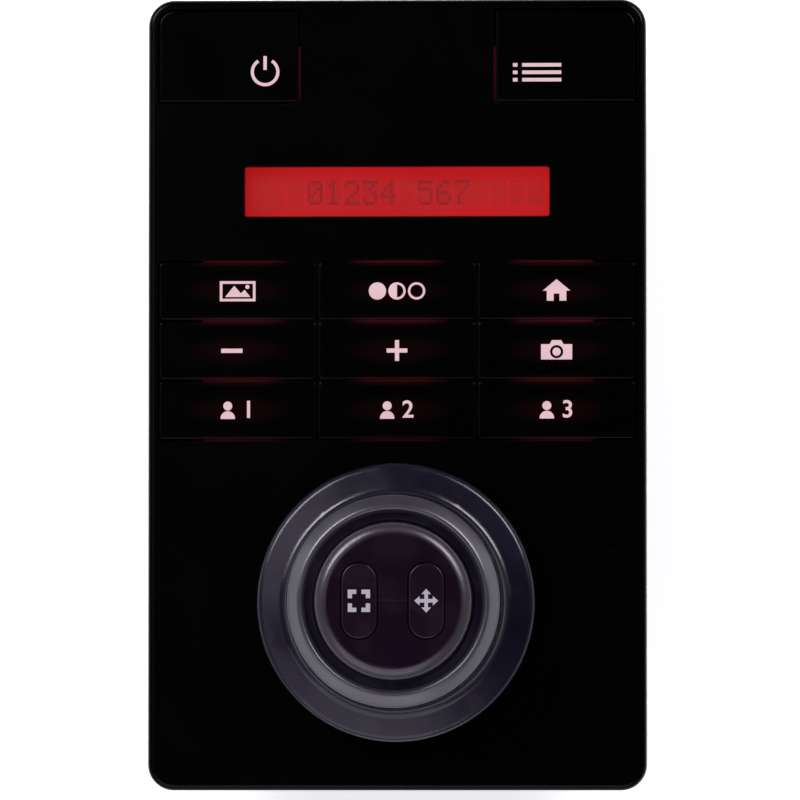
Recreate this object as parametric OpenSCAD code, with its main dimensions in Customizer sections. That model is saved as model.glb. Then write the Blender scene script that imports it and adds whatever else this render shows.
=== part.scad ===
// Hand controller: a black face with eleven keys, a one-line display and a joystick puck.
// It lies on its back. Origin: middle of the rear face. +Z comes out of the face, +Y points to the display end.
// All sizes are in millimetres.

/* [Face] */
// Width of the face
face_w = 86.4; // [85:0.2:96]
// Height of the face
face_l = 137.2; // [136:0.2:150]
// Corner radius of the face
corner_r = 4.5; // [4:0.1:7]
// Rounding along the edge of the face
edge_r = 1; // [0.4:0.1:1.3]
// Thickness of the face plate
face_t = 2.4; // [2:0.1:2.8]
// Thickness of the bezel wall
bezel_wall = 1.5; // [1.4:0.1:1.8]
// Depth of the bezel
bezel_d = 11.4; // [11.2:0.1:14]

/* [Rear housing] */
// Width of the box behind the console panel
box_w = 66; // [64:0.5:67]
// Height of the box behind the console panel
box_l = 118; // [116:0.5:118.5]
// Depth of the box behind the console panel
box_d = 25; // [24:0.5:40]
// Corner radius of the box
box_r = 5; // [3:0.5:8]
// Rounding along the rear edge of the box
box_edge = 1.5; // [0.5:0.1:2]
// Wall and floor thickness of the box
box_wall = 2.2; // [1.8:0.1:2.4]
// Thickness of the flange
flange_t = 3; // [2.6:0.1:4]
// Thickness of the panel gasket
gasket_t = 1.5; // [1:0.1:3]
// Distance of the fixing inserts from the edges of the face
insert_in = 5.2; // [5.1:0.1:5.6]
// Outer radius of a fixing insert
insert_r = 2.8; // [2.4:0.1:2.9]
// Radius of the thread hole in a fixing insert
thread_r = 1.65; // [1.2:0.05:1.9]

/* [Keys] */
// Gap around each key
key_gap = 0.4; // [0.3:0.05:0.6]
// Height of one row of keys
row_pitch = 10.34; // [9.8:0.02:10.6]
// Upper edge of the key field
field_top = 23.3; // [22.4:0.1:24]
// Travel of a key
key_travel = 0.8; // [0.4:0.1:0.9]
// Height of a key cap
cap_h = 3.6; // [3.2:0.1:3.8]
// Width of each top corner key, with its gap
top_key_w = 24.95; // [22:0.05:26]
// Height of each top corner key, with its gap
top_key_l = 16.65; // [15.5:0.05:17]

/* [Display] */
// Width of the lit display
view_w = 52.7; // [48:0.1:53]
// Height of the lit display
view_l = 8.5; // [8:0.1:8.6]
// Centre of the display above the key field
view_up = 11.9; // [11.8:0.1:12.6]

/* [Joystick] */
// Centre of the joystick above the lower edge of the face
stick_up = 32.4; // [32:0.1:33.4]
// Lift of the puck, up or down
lift = 0.8; // [0.3:0.1:0.8]
// Gap between face and puck
puck_gap = 3.6; // [3.5:0.1:5]
// Outer radius of the puck at its skirt
puck_r = 24.1; // [22.6:0.1:24.4]
// Radius of the puck above its skirt
side_r = 18.4; // [17.9:0.1:19.2]
// Height of the puck body below its ridge ring
body_h = 13.2; // [12.8:0.1:15]
// Radius of the raised cap on the puck
cap_r = 13.9; // [13.4:0.1:14.1]
// Rounding along the edge of the raised cap
cap_round = 2.6; // [2:0.1:3]
// Radius of the ridge ring on the puck
ridge_r = 16.7; // [16.4:0.1:17]
// Width of a puck button
button_w = 6.1; // [5.4:0.1:6.6]
// Length of a puck button
button_l = 13; // [12:0.1:14]
// Distance of a puck button from the centre of the puck
button_x = 5.75; // [5.4:0.05:6]
// Travel of a puck button
button_travel = 0.5; // [0.2:0.1:0.6]

/* [Gimbal] */
// Radius of the joystick stem
stem_r = 4; // [3.4:0.1:4.2]
// Radial play of a running fit
run_gap = 0.05; // [0.02:0.01:0.08]
// Radius of the gimbal pins
pin_r = 1.2; // [0.9:0.05:1.4]
// Distance of the guide posts from the stick centre
post_in = 16; // [15.6:0.1:16.2]
// Radius of a guide post
post_r = 2; // [1.7:0.1:2.2]
// Distance of the pivot below the top plate
pivot_drop = 12.8; // [12.2:0.1:13.4]

/* [Hidden] */
$fn = 48;
eps = 0.5;
overlap = 0.1;
thread_gap = 0.03;
slide_gap = 0.2;
free_gap = 0.3;
flange_in = 0.3;
seal_in = 0.2;
seal_t = 0.6;

// Heights of the stack, from the rear face to the key face
z_seat = box_d;
z_flange = z_seat + flange_t;
z_bezel = z_flange + seal_t;
z_face = z_bezel + bezel_d;
z_plate = z_face - face_t;

// Keys, guide plate and main board hang from the face
cap_t = 1.4;
cap_wall = 1;
key_edge = 0.3;
key_r = 0.6;
guide_t = 1.6;
hook_h = 1;
hook_out = 0.5;
blade_w = 12;
blade_t = 3;
dome_h = 2.4;
mat_t = 0.8;
mat_in = 1;
board_t = 1.6;
z_cap = z_face - cap_h;
z_guide_top = z_cap - key_travel - slide_gap;
z_guide = z_guide_top - guide_t;
z_blade = z_guide - slide_gap - hook_h;
z_board_top = z_blade - dome_h;
z_board = z_board_top - board_t;

in_w = face_w - 2 * bezel_wall;
in_l = face_l - 2 * bezel_wall;
col_pitch = (in_w - key_gap) / 3;
key_w = col_pitch - key_gap;
key_l = row_pitch - key_gap;
field_bottom = field_top - 3 * row_pitch - key_gap;
top_key_x = in_w / 2 - top_key_w;
top_key_y = in_l / 2 - top_key_l;
top_post_x = 8.25;
top_post_y = 6.5;
top_post = [top_key_x + top_post_x, top_key_y + top_post_y];
posts = concat(
    [for (r = [0:2], c = [0:2]) key_at(c, r)],
    [[-top_post[0], top_post[1]], top_post]);

// Display frame, which the screws of the main board stand clear of
view_y = field_top + view_up;
frame_w = view_w + 5.3;
frame_l = view_l + 4.5;
beside_view = view_y - frame_l / 2 - field_top;

// Small screws
small_r = 0.95;
small_head_r = 1.9;
small_head_h = 1.3;
small_deep = 1.4;
stand_r = min(2.3, beside_view / 2 - free_gap);

// Joystick frame, which the box and the main board make room for
stick_y = stick_up - face_l / 2;
plate_margin = 4;
plate_half = post_in + plate_margin;
frame_gap = 0.6;
ribbon_off = 3.4;
stick_ribbon_y = stick_y + plate_half + ribbon_off;
box_y0 = -max(box_l / 2, plate_half + frame_gap + box_wall - stick_y);
box_y1 = box_l / 2;

// Main board, which ends at the ribbon and is held outside the key field
board_in = 9.2;
board_top_in = 7.8;
board_foot = 5.9;
foot_screw = 2.8;
top_screw_x = 5.75;
top_screw_y = 3.5;
screw_edge = 3;
board_w = face_w - 2 * board_in;
board_y0 = min(field_bottom - board_foot, stick_ribbon_y - 1.2);
board_y1 = face_l / 2 - board_top_in;
head_room = 0.9;
board_screw_x = min(board_w / 2 - screw_edge, box_w / 2 - box_wall - small_head_r - head_room);
top_screw_up = min(top_key_y + top_screw_y, box_y1 - box_wall - small_head_r - head_room);
board_screw_at = concat(
    [for (x = [-1, 1], y = [field_bottom - foot_screw, field_top + beside_view / 2]) [x * board_screw_x, y]],
    [for (x = [-1, 1]) [x * (top_key_x - top_screw_x), top_screw_up]]);

// Display stack between main board and window
lens_t = 0.8;
lens_lap = 2;
lip_t = 0.4;
lcd_t = 2.6;
frame_t = 0.5;
z_lens = z_plate - lens_t;
z_lip = z_lens - lip_t - 0.4;
z_lcd = z_lip - lcd_t;

// Fixings of the casing
boss_r = 3;
boss_in = bezel_wall + 2.6;
case_r = 1.2;
case_at = concat(
    [for (x = [-1, 1], y = [field_top + 5.7, field_bottom - 11.9]) [x * (face_w / 2 - boss_in), y]],
    [for (y = [-1, 1]) [0, y * (face_l / 2 - boss_in)]]);
insert_l = 5.5;
insert_wall = 0.8;
insert_cap = 0.5;
insert_x = face_w / 2 - insert_in;
insert_y = face_l / 2 - insert_in;
insert_boss = min(insert_r + insert_wall, insert_in - bezel_wall - overlap);

// Network board and jack on the floor of the box
net_w = 44;
net_l = 30;
net_in = 5;
net_y1 = box_y1 - net_in;
z_net = box_wall + 2.8;
net_screw_at = [for (x = [-1, 1], y = [3, net_l - 3]) [x * (net_w / 2 - 3), net_y1 - y]];
jack_w = 16;
jack_l = 19;
jack_h = 13.4;
jack_in_w = 12;
jack_in_h = 8.6;
jack_deep = 15;
z_jack = z_net + board_t;
ribbon_w = 12;
ribbon_t = 0.4;
socket_h = 2.2;
net_ribbon_y = net_y1 - net_l + 4.5;

// Joystick frame
hole_r = 11;
boot_t = 1.2;
plate_t = 1.6;
z_top = z_plate - boot_t - plate_t;
z_base = box_wall + 2.8;
z_base_top = z_base + plate_t;
z_pivot = z_top - pivot_drop;
sensor_t = 1.2;
spigot_r = post_r - 0.5;
lug_h = 3;
spring_r = post_r + 1.1;
wire_r = 0.35;
stick_boss_r = 2.2;
stick_screw_r = plate_half - stick_boss_r;
boot_r = stick_screw_r - stick_boss_r - overlap;

// Gimbal, measured from the pivot
hub_r = stem_r + 3.2;
hub_h = 5;
ring_in = hub_r + 2;
ring_out = ring_in + 3.4;
ring_h = 4;
carrier_in = ring_out + 1;
carrier_out = carrier_in + 3.4;
crown_in = stem_r + 1.6;
crown_out = stem_r + 3.9;
crown_h = 2.2;
collar_r = stem_r + 1.2;
clip_t = 0.8;
magnet_t = 1.4;
sensor_h = 0.9;
magnet_air = 1.5;
stem_down = z_pivot - magnet_t - z_base - sensor_h - lift - magnet_air;
bore_r = 1.6;

// Puck, measured from its lower edge
z_puck = z_face + puck_gap;
lip_r = 1.2;
flare_r = 2;
skirt_slope = 9;
skirt_wall = 3.2;
recess_r = side_r - skirt_wall;
recess_h = 3.4;
web_t = 2.6;
z_cap_seat = body_h - 1;
z_puck_board = z_cap_seat - 1.6;
cap_up = 3.5;
cap_top = body_h + cap_up;
cap_plate = 1.6;
ridge_w = 1.5;
ridge_up = 0.3;
ring_in_edge = 0.15;
ring_lip = 0.4;
stem_top = z_puck + recess_h;
stem_flange_t = 1.6;
stem_flange_r = 8.5;
stem_screw_r = 6.4;

function key_at(c, r) = [(c - 1) * col_pitch, field_top - key_gap / 2 - (r + 0.5) * row_pitch];

// Rectangle with round corners, centred
module round_rect(w, l, r) {
    square([w - 2 * r, l], center = true);
    square([w, l - 2 * r], center = true);
    for (x = [-1, 1], y = [-1, 1])
        translate([x * (w / 2 - r), y * (l / 2 - r)])
            circle(r = r);
}

// Quarter of a disc, with a tongue that reaches into what it rounds
module quarter(r, tongue = 0) {
    intersection() {
        circle(r = r);
        square(r);
    }
    if (tongue > 0) translate([-tongue, -tongue]) {
        square([tongue, r + tongue]);
        square([r + tongue, tongue]);
    }
}

// Slab with round corners and a rounded upper edge
module soft_slab(w, l, h, r, e) {
    k = min(overlap, (r - e) / 2);
    linear_extrude(h - e) round_rect(w, l, r);
    linear_extrude(h) round_rect(w - 2 * e, l - 2 * e, r - e);
    for (s = [0, 180]) rotate(s) {
        translate([w / 2 - e, l / 2 - r, h - e])
            rotate([90, 0, 0]) linear_extrude(l - 2 * r) quarter(e, k);
        translate([r - w / 2, l / 2 - e, h - e])
            rotate([90, 0, 90]) linear_extrude(w - 2 * r) quarter(e, k);
    }
    for (s = [0, 1], t = [0, 1])
        mirror([s, 0, 0]) mirror([0, t, 0])
            translate([w / 2 - r, l / 2 - r, h - e])
                rotate_extrude(angle = 90) translate([r - e, 0]) quarter(e, k);
}

// Ring with a rectangular section
module tube(r_in, r_out, z0, z1) {
    rotate_extrude()
        translate([r_in, z0])
            square([r_out - r_in, z1 - z0]);
}

// Pin along X on both sides of the centre
module pin_pair(r, from, to) {
    for (s = [0, 180])
        rotate(s) translate([from, 0, 0]) rotate([0, 90, 0]) cylinder(r = r, h = to - from);
}

// Screw with a round head below the origin and its shank upwards
module small_screw(l) {
    translate([0, 0, -small_head_h]) cylinder(r = small_head_r, h = small_head_h);
    cylinder(r = small_r, h = l);
}

// Round wire wound from one radius and height to another
module coil(r0, z0, r1, z1, turns) {
    n = ceil(turns * 8);
    points = [for (i = [0:n], j = [0:5])
        let (t = i / n, a = 360 * turns * t, b = 60 * j,
            r = r0 + (r1 - r0) * t + wire_r * cos(b),
            z = z0 + (z1 - z0) * t + wire_r * sin(b))
        [r * cos(a), r * sin(a), z]];
    sides = [for (i = [0:n - 1], j = [0:5])
        let (a = i * 6 + j, b = i * 6 + (j + 1) % 6)
        each [[a, b, b + 6], [a, b + 6, a + 6]]];
    ends = [[5, 4, 3, 2, 1, 0], [for (j = [0:5]) n * 6 + j]];
    polyhedron(points = points, faces = concat(sides, ends), convexity = 8);
}

// Flat ribbon that bows out towards +Y between two heights
module ribbon(y, z0, z1, bow) {
    half = (z1 - z0) / 2;
    bow_r = (half * half + bow * bow) / (2 * bow);
    translate([-ribbon_w / 2, y, (z0 + z1) / 2])
        rotate([90, 0, 90]) linear_extrude(ribbon_w)
            intersection() {
                translate([bow - bow_r, 0]) difference() {
                    circle(r = bow_r + ribbon_t / 2);
                    circle(r = bow_r - ribbon_t / 2);
                }
                translate([-2, -half]) square([bow + 4, 2 * half]);
            }
}

module front_bezel() color([0.04, 0.04, 0.045]) {
    difference() {
        union() {
            difference() {
                translate([0, 0, z_bezel]) soft_slab(face_w, face_l, bezel_d, corner_r, edge_r);
                translate([0, 0, z_bezel - eps]) linear_extrude(bezel_d - face_t + eps)
                    round_rect(in_w, in_l, corner_r - bezel_wall);
            }
            for (p = case_at)
                translate([p[0], p[1], z_bezel]) cylinder(r = boss_r, h = bezel_d - face_t + eps);
            for (p = board_screw_at)
                translate([p[0], p[1], z_guide_top]) cylinder(r = stand_r, h = z_plate - z_guide_top + eps);
            translate([0, stick_y, z_plate - boot_t])
                for (a = [0:90:270])
                    rotate(a) translate([stick_screw_r, 0, 0]) cylinder(r = stick_boss_r, h = boot_t + eps);
        }
        translate([0, 0, z_plate - eps]) linear_extrude(face_t + 2 * eps) {
            translate([0, (field_top + field_bottom) / 2])
                round_rect(in_w, field_top - field_bottom, key_r + key_gap);
            for (s = [0, 1]) mirror([s, 0]) top_key_hole();
            translate([0, view_y]) round_rect(view_w + slide_gap, view_l + slide_gap, 0.5);
            translate([0, stick_y]) circle(r = hole_r);
        }
        for (p = case_at)
            translate([p[0], p[1], z_bezel - eps]) cylinder(r = case_r + thread_gap, h = 7.5 + eps);
        for (p = board_screw_at)
            translate([p[0], p[1], z_guide_top - eps])
                cylinder(r = small_r + thread_gap, h = z_plate - z_guide_top + eps + small_deep);
        translate([0, stick_y, z_plate - boot_t - eps])
            for (a = [0:90:270])
                rotate(a) translate([stick_screw_r, 0, 0])
                    cylinder(r = small_r + thread_gap, h = boot_t + eps + small_deep);
    }
}

// Opening for the top right key
module top_key_hole() {
    intersection() {
        round_rect(in_w, in_l, corner_r - bezel_wall);
        translate([top_key_x + face_l / 2, top_key_y + face_l / 2]) round_rect(face_l, face_l, key_r + key_gap);
    }
}

// Outline of the box, smaller by an inset
module box_outline(inset) {
    translate([0, (box_y0 + box_y1) / 2])
        round_rect(box_w - 2 * inset, box_y1 - box_y0 - 2 * inset, box_r - inset);
}

module rear_housing() color([0.10, 0.10, 0.11]) {
    difference() {
        union() {
            translate([0, (box_y0 + box_y1) / 2, z_seat + eps]) mirror([0, 0, 1])
                soft_slab(box_w, box_y1 - box_y0, z_seat + eps, box_r, box_edge);
            translate([0, 0, z_seat]) linear_extrude(flange_t)
                round_rect(face_w - 2 * flange_in, face_l - 2 * flange_in, corner_r - flange_in);
            for (x = [-1, 1], y = [-1, 1])
                translate([x * insert_x, y * insert_y, z_flange - eps])
                    cylinder(r = insert_boss, h = eps + insert_l - flange_t + insert_cap);
        }
        difference() {
            translate([0, 0, box_wall]) linear_extrude(z_flange) box_outline(box_wall);
            for (p = net_screw_at)
                translate([p[0], p[1], 0]) cylinder(r = 2.5, h = z_net);
        }
        for (p = net_screw_at)
            translate([p[0], p[1], 0.8]) cylinder(r = small_r + thread_gap, h = z_net);
        for (x = [-1, 1], y = [-1, 1])
            translate([x * insert_x, y * insert_y, z_seat - eps]) cylinder(r = insert_r, h = insert_l + eps);
        for (p = case_at)
            translate([p[0], p[1], z_seat]) {
                translate([0, 0, -eps]) cylinder(r = case_r + 0.15, h = flange_t + 2 * eps);
                cylinder(r1 = case_r + 1.3, r2 = case_r, h = 1.3);
            }
        translate([0, 0, z_board - free_gap]) linear_extrude(bezel_d) board_outline(-free_gap);
        translate([0, box_y1, z_jack + jack_h / 2])
            cube([jack_w + free_gap, 6 * box_wall, jack_h + free_gap], center = true);
    }
}

module housing_seal() color([0.06, 0.06, 0.07]) {
    translate([0, 0, z_flange]) linear_extrude(seal_t)
        difference() {
            union() {
                difference() {
                    round_rect(face_w - 2 * flange_in, face_l - 2 * flange_in, corner_r - flange_in);
                    round_rect(in_w - 2 * seal_in, in_l - 2 * seal_in, corner_r - bezel_wall);
                }
                for (p = case_at) translate([p[0], p[1]]) circle(r = boss_r);
            }
            for (p = case_at) translate([p[0], p[1]]) circle(r = case_r + 0.15);
            for (x = [-1, 1], y = [-1, 1])
                translate([x * insert_x, y * insert_y]) circle(r = insert_boss + slide_gap);
        }
}

module panel_gasket() color([0.07, 0.07, 0.075]) {
    translate([0, 0, z_seat - gasket_t]) linear_extrude(gasket_t)
        difference() {
            round_rect(face_w - 2.4, face_l - 2.4, corner_r - 1.2);
            box_outline(-free_gap);
            for (x = [-1, 1], y = [-1, 1])
                translate([x * insert_x, y * insert_y]) circle(r = insert_r + 0.3);
            for (p = case_at) translate([p[0], p[1]]) circle(r = case_r + 1.5);
        }
}

module mounting_inserts() color([0.72, 0.55, 0.25]) {
    for (x = [-1, 1], y = [-1, 1])
        translate([x * insert_x, y * insert_y, 0]) tube(thread_r, insert_r, z_seat, z_seat + insert_l);
}

module housing_screws() color([0.55, 0.55, 0.57]) {
    for (p = case_at)
        translate([p[0], p[1], z_seat]) difference() {
            union() {
                cylinder(r1 = case_r + 1.25, r2 = case_r, h = 1.25);
                cylinder(r = case_r, h = flange_t + seal_t + 7);
            }
            translate([0, 0, -eps]) cylinder(r = 0.8, h = eps + 0.9, $fn = 6);
        }
}

module display_window() color([0.30, 0.04, 0.05, 0.5]) {
    translate([0, view_y, 0]) {
        translate([0, 0, z_plate - lens_t / 2]) linear_extrude(face_t + lens_t / 2)
            round_rect(view_w, view_l, 0.4);
        translate([0, 0, z_lens]) linear_extrude(lens_t)
            round_rect(view_w + 2 * lens_lap, view_l + 2 * lens_lap, 1);
    }
}

module display_gasket() color([0.05, 0.05, 0.05]) {
    translate([0, view_y, z_lens - 0.4]) linear_extrude(0.4)
        difference() {
            square([frame_w - 0.6, frame_l - 0.6], center = true);
            square([view_w + 1.3, view_l + 1.3], center = true);
        }
}

module lcd_panel() color([0.62, 0.10, 0.12]) {
    translate([0, view_y, z_lcd]) linear_extrude(lcd_t)
        square([frame_w - 2 * frame_t - 0.2, frame_l - 2 * frame_t - 0.2], center = true);
}

module lcd_backlight() color([0.85, 0.85, 0.82]) {
    translate([0, view_y, z_board_top]) linear_extrude(z_lcd - z_board_top)
        square([frame_w - 2 * frame_t - 0.2, frame_l - 2 * frame_t - 0.2], center = true);
}

module lcd_frame() color([0.60, 0.61, 0.63]) {
    translate([0, view_y, z_board_top]) difference() {
        linear_extrude(z_lip + lip_t - z_board_top) round_rect(frame_w, frame_l, 0.6);
        translate([0, 0, -eps]) linear_extrude(z_lip - z_board_top + eps)
            square([frame_w - 2 * frame_t, frame_l - 2 * frame_t], center = true);
        linear_extrude(bezel_d) square([view_w + 1.3, view_l + 1.3], center = true);
    }
}

// Chips, chokes and capacitors under the main board
chip_w = 14;
chip_t = 1.6;
chip_down = 11.3;
driver_x = 17;
driver_w = 10;
driver_l = 8;
driver_t = 1.2;
driver_down = 9.3;
choke_w = 9;
choke_h = 4;
choke_down = 10.3;
low_row = 23.3;
filter_w = 7;
filter_h = 3;
clock_x = 15;
clock_w = 5;
clock_l = 4;
clock_h = 1.5;
coil_x = 20;
coil_w = 12;
coil_h = 4.5;
coil_up = 0.8;
can_r = 3.2;
can_h = 6;
can_x = 17;
can_pitch = 10;
plug_l = 3.2;
plug_w = ribbon_w + 4;

// Outline that main board and guide plate share
module board_outline(inset) {
    room = plate_half + frame_gap + inset;
    difference() {
        translate([0, (board_y0 + board_y1) / 2])
            round_rect(board_w - 2 * inset, board_y1 - board_y0 - 2 * inset, 1.5);
        translate([-room, stick_y - room]) square(2 * room);
    }
}

module key_guide() color([0.55, 0.05, 0.06]) {
    difference() {
        union() {
            translate([0, 0, z_guide]) linear_extrude(guide_t) board_outline(0);
            for (p = board_screw_at)
                translate([p[0], p[1], z_board_top]) cylinder(r = stand_r, h = z_guide - z_board_top + eps);
        }
        translate([0, view_y, z_guide - eps]) linear_extrude(guide_t + 2 * eps)
            square([frame_w + 1.2, frame_l + 1.2], center = true);
        for (p = posts)
            translate([p[0], p[1], z_guide + guide_t / 2])
                cube([blade_w + 2 * slide_gap, blade_t + 2 * slide_gap, guide_t + 2 * eps], center = true);
        for (p = board_screw_at)
            translate([p[0], p[1], z_board_top - eps]) cylinder(r = small_r + slide_gap, h = bezel_d);
    }
}

// Silicone mat in two parts, one under the key field and one under the top keys
module keypad_mat() color([0.75, 0.74, 0.72]) {
    difference() {
        union() {
            translate([0, 0, z_board_top]) linear_extrude(mat_t) intersection() {
                board_outline(mat_in);
                union() {
                    translate([-face_w / 2, field_bottom]) square([face_w, field_top - field_bottom]);
                    translate([-face_w / 2, view_y + frame_l / 2 + slide_gap]) square([face_w, face_l]);
                }
            }
            for (p = posts)
                translate([p[0], p[1], z_board_top]) cylinder(r1 = 3.2, r2 = 1.8, h = dome_h);
        }
        for (p = posts)
            translate([p[0], p[1], z_board_top - eps]) {
                cylinder(r = 2.4, h = mat_t + eps);
                cylinder(r1 = 2.6, r2 = 1.2, h = dome_h - 0.7 + eps);
            }
        translate([0, 0, z_board_top - eps]) linear_extrude(mat_t + 2 * eps) {
            for (p = board_screw_at) translate([p[0], p[1]]) circle(r = stand_r + free_gap);
            for (p = posts) translate([led_x(p), p[1]]) square([2.4, 1.6], center = true);
        }
    }
}

// Each key light stands beside its dome, on the side of the middle
function led_x(p) = p[0] + (p[0] > 1 ? -6.4 : 6.4);

module main_board() color([0.03, 0.22, 0.12]) {
    translate([0, 0, z_board]) linear_extrude(board_t)
        difference() {
            board_outline(0);
            for (p = board_screw_at) translate([p[0], p[1]]) circle(r = small_r + 0.2);
        }
}

// Box that hangs under the main board
module under_board(x, y, w, l, h) {
    translate([x, y, z_board - h / 2]) cube([w, l, h], center = true);
}

module board_parts() color([0.12, 0.12, 0.13]) {
    under_board(0, field_top - chip_down, chip_w, chip_w, chip_t);
    under_board(driver_x, field_top - driver_down, driver_w, driver_l, driver_t);
    under_board(-driver_x, field_top - choke_down, choke_w, choke_w, choke_h);
    under_board(-driver_x, field_top - low_row, filter_w, filter_w, filter_h);
    under_board(clock_x, field_top - low_row, clock_w, clock_l, clock_h);
    under_board(coil_x, view_y + coil_up, coil_w, coil_w, coil_h);
    under_board(0, net_ribbon_y, plug_w, plug_l, socket_h);
    under_board(0, stick_ribbon_y + 0.6, plug_w, 2.6, socket_h);
    for (s = [-1, 1])
        translate([s * can_pitch / 2 - can_x, view_y, z_board - can_h]) cylinder(r = can_r, h = can_h);
}

module key_leds() color([0.9, 0.25, 0.2]) {
    for (p = posts)
        translate([led_x(p), p[1], z_board_top + 0.35]) cube([1.6, 0.8, 0.7], center = true);
}

module small_screws() color([0.6, 0.6, 0.62]) {
    for (p = board_screw_at)
        translate([p[0], p[1], z_board]) small_screw(z_plate + 1.2 - z_board);
    for (p = net_screw_at)
        translate([p[0], p[1], z_net + board_t]) mirror([0, 0, 1]) small_screw(5);
    translate([0, stick_y, z_top])
        for (a = [0:90:270])
            rotate(a) translate([stick_screw_r, 0, 0]) small_screw(plate_t + boot_t + 1.2);
}

module network_board() color([0.03, 0.22, 0.12]) {
    translate([0, net_y1 - net_l / 2, z_net]) linear_extrude(board_t)
        difference() {
            round_rect(net_w, net_l, 1);
            for (p = net_screw_at)
                translate([p[0], p[1] - net_y1 + net_l / 2]) circle(r = small_r + 0.2);
        }
}

// Chip, transformer and capacitors on the network board
net_part_down = 13;
net_chip_x = 14;
net_chip_w = 8;
net_chip_t = 1.4;
transformer_x = 15;
transformer_w = 10;
transformer_l = 11;
transformer_h = 8;
net_can_r = 2.5;
net_can_h = 7;
net_can_down = 22;
net_can_pitch = 6;

// Box that stands on the network board
module on_net(x, y, w, l, h) {
    translate([x, y, z_jack + h / 2]) cube([w, l, h], center = true);
}

module network_parts() color([0.13, 0.13, 0.14]) {
    on_net(net_chip_x, net_y1 - net_part_down, net_chip_w, net_chip_w, net_chip_t);
    on_net(-transformer_x, net_y1 - net_part_down, transformer_w, transformer_l, transformer_h);
    on_net(0, net_ribbon_y, plug_w, plug_l, socket_h);
    for (s = [-1, 1])
        translate([transformer_x, net_y1 - net_can_down + s * net_can_pitch / 2, z_jack])
            cylinder(r = net_can_r, h = net_can_h);
}

module ethernet_jack() color([0.16, 0.16, 0.17]) {
    translate([0, box_y1, z_jack]) difference() {
        translate([-jack_w / 2, -jack_l, 0]) cube([jack_w, jack_l, jack_h]);
        translate([-jack_in_w / 2, -jack_deep, 1.4]) cube([jack_in_w, jack_deep + eps, jack_in_h]);
        translate([-3.2, -jack_deep, 1.4 + jack_in_h - eps]) cube([6.4, jack_deep + eps, 2.3 + eps]);
    }
}

module jack_contacts() color([0.85, 0.68, 0.25]) {
    translate([0, box_y1, z_jack + 1.4])
        for (i = [-3.5:1:3.5])
            translate([i * 1.02 - 0.22, 0, 0])
                rotate([90, 0, 90]) linear_extrude(0.44)
                    polygon([[-3, 0], [-jack_deep, 0], [-jack_deep, 3.2], [-jack_deep + 0.5, 3.2],
                        [-4.2, 0.5], [-3, 0.5]]);
}

module board_ribbon() color([0.80, 0.79, 0.74]) {
    ribbon(net_ribbon_y, z_jack + socket_h, z_board - socket_h, 2);
}

module stick_ribbon() color([0.80, 0.79, 0.74]) {
    ribbon(stick_ribbon_y, z_base + socket_h, z_board - socket_h, 2);
}

// Square plate of the joystick frame
module stick_plate(z, hole) {
    translate([0, stick_y, z]) linear_extrude(plate_t) difference() {
        round_rect(2 * plate_half, 2 * plate_half, 3);
        circle(r = hole);
        for (x = [-1, 1], y = [-1, 1]) translate([x * post_in, y * post_in]) circle(r = spigot_r);
        if (hole > 10)
            for (a = [0:90:270]) rotate(a) translate([stick_screw_r, 0]) circle(r = small_r + 0.2);
    }
}

module stick_top_plate() color([0.50, 0.51, 0.53]) {
    stick_plate(z_top, hole_r + 0.5);
}

module stick_base() color([0.50, 0.51, 0.53]) {
    stick_plate(z_base, 7.6);
}

module guide_posts() color([0.72, 0.73, 0.75]) {
    for (x = [-1, 1], y = [-1, 1])
        translate([x * post_in, stick_y + y * post_in, 0]) {
            translate([0, 0, z_base_top]) cylinder(r = post_r, h = z_top - z_base_top);
            translate([0, 0, z_base]) cylinder(r = spigot_r, h = z_top - z_base + plate_t);
        }
}

module lift_springs() color([0.70, 0.70, 0.72]) {
    for (x = [-1, 1], y = [-1, 1])
        translate([x * post_in, stick_y + y * post_in, 0]) {
            coil(spring_r, z_base_top + wire_r, spring_r, z_pivot - lug_h - wire_r, 5);
            coil(spring_r, z_pivot + lug_h + wire_r, spring_r, z_top - wire_r, 4);
        }
}

module sensor_board() color([0.03, 0.20, 0.14]) {
    tail = stick_ribbon_y + 1.6 - stick_y;
    translate([0, stick_y, z_base - sensor_t]) {
        translate([-10, -10, 0]) cube([20, tail + 10, sensor_t]);
        for (a = [0:90:270])
            rotate(a) translate([3, -1.5, 0]) cube([3, 3, sensor_t + sensor_h]);
    }
    translate([0, stick_ribbon_y + 0.3, z_base + socket_h / 2 - 0.1])
        cube([ribbon_w + 4, 2.4, socket_h + 0.2], center = true);
}

module centering_spring() color([0.70, 0.70, 0.72]) {
    translate([0, stick_y, 0])
        coil(11, z_base_top + wire_r, stem_r + 1.4, z_pivot - hub_h - 0.15 - clip_t - wire_r, 5);
}

module stick_boot() color([0.06, 0.06, 0.065]) {
    top = z_puck - 0.2;
    translate([0, stick_y, 0]) rotate_extrude()
        polygon([[boot_r, z_plate - boot_t], [boot_r, z_plate], [hole_r - 0.2, z_plate], [hole_r - 0.2, z_face + 0.6],
            [hole_r - 1.2, z_face + 1.6], [hole_r - 2.2, z_face + 1.6], [hole_r - 3.2, z_face - 1],
            [collar_r + 1.4, z_face - 1], [collar_r + 1.1, top], [collar_r + 0.1, top],
            [collar_r + 0.1, z_face - 1.8], [hole_r - 2.6, z_face - 1.8], [hole_r - 1.6, z_face + 0.8],
            [hole_r - 1, z_face + 0.4], [hole_r - 1, z_plate - boot_t]]);
}

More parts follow.
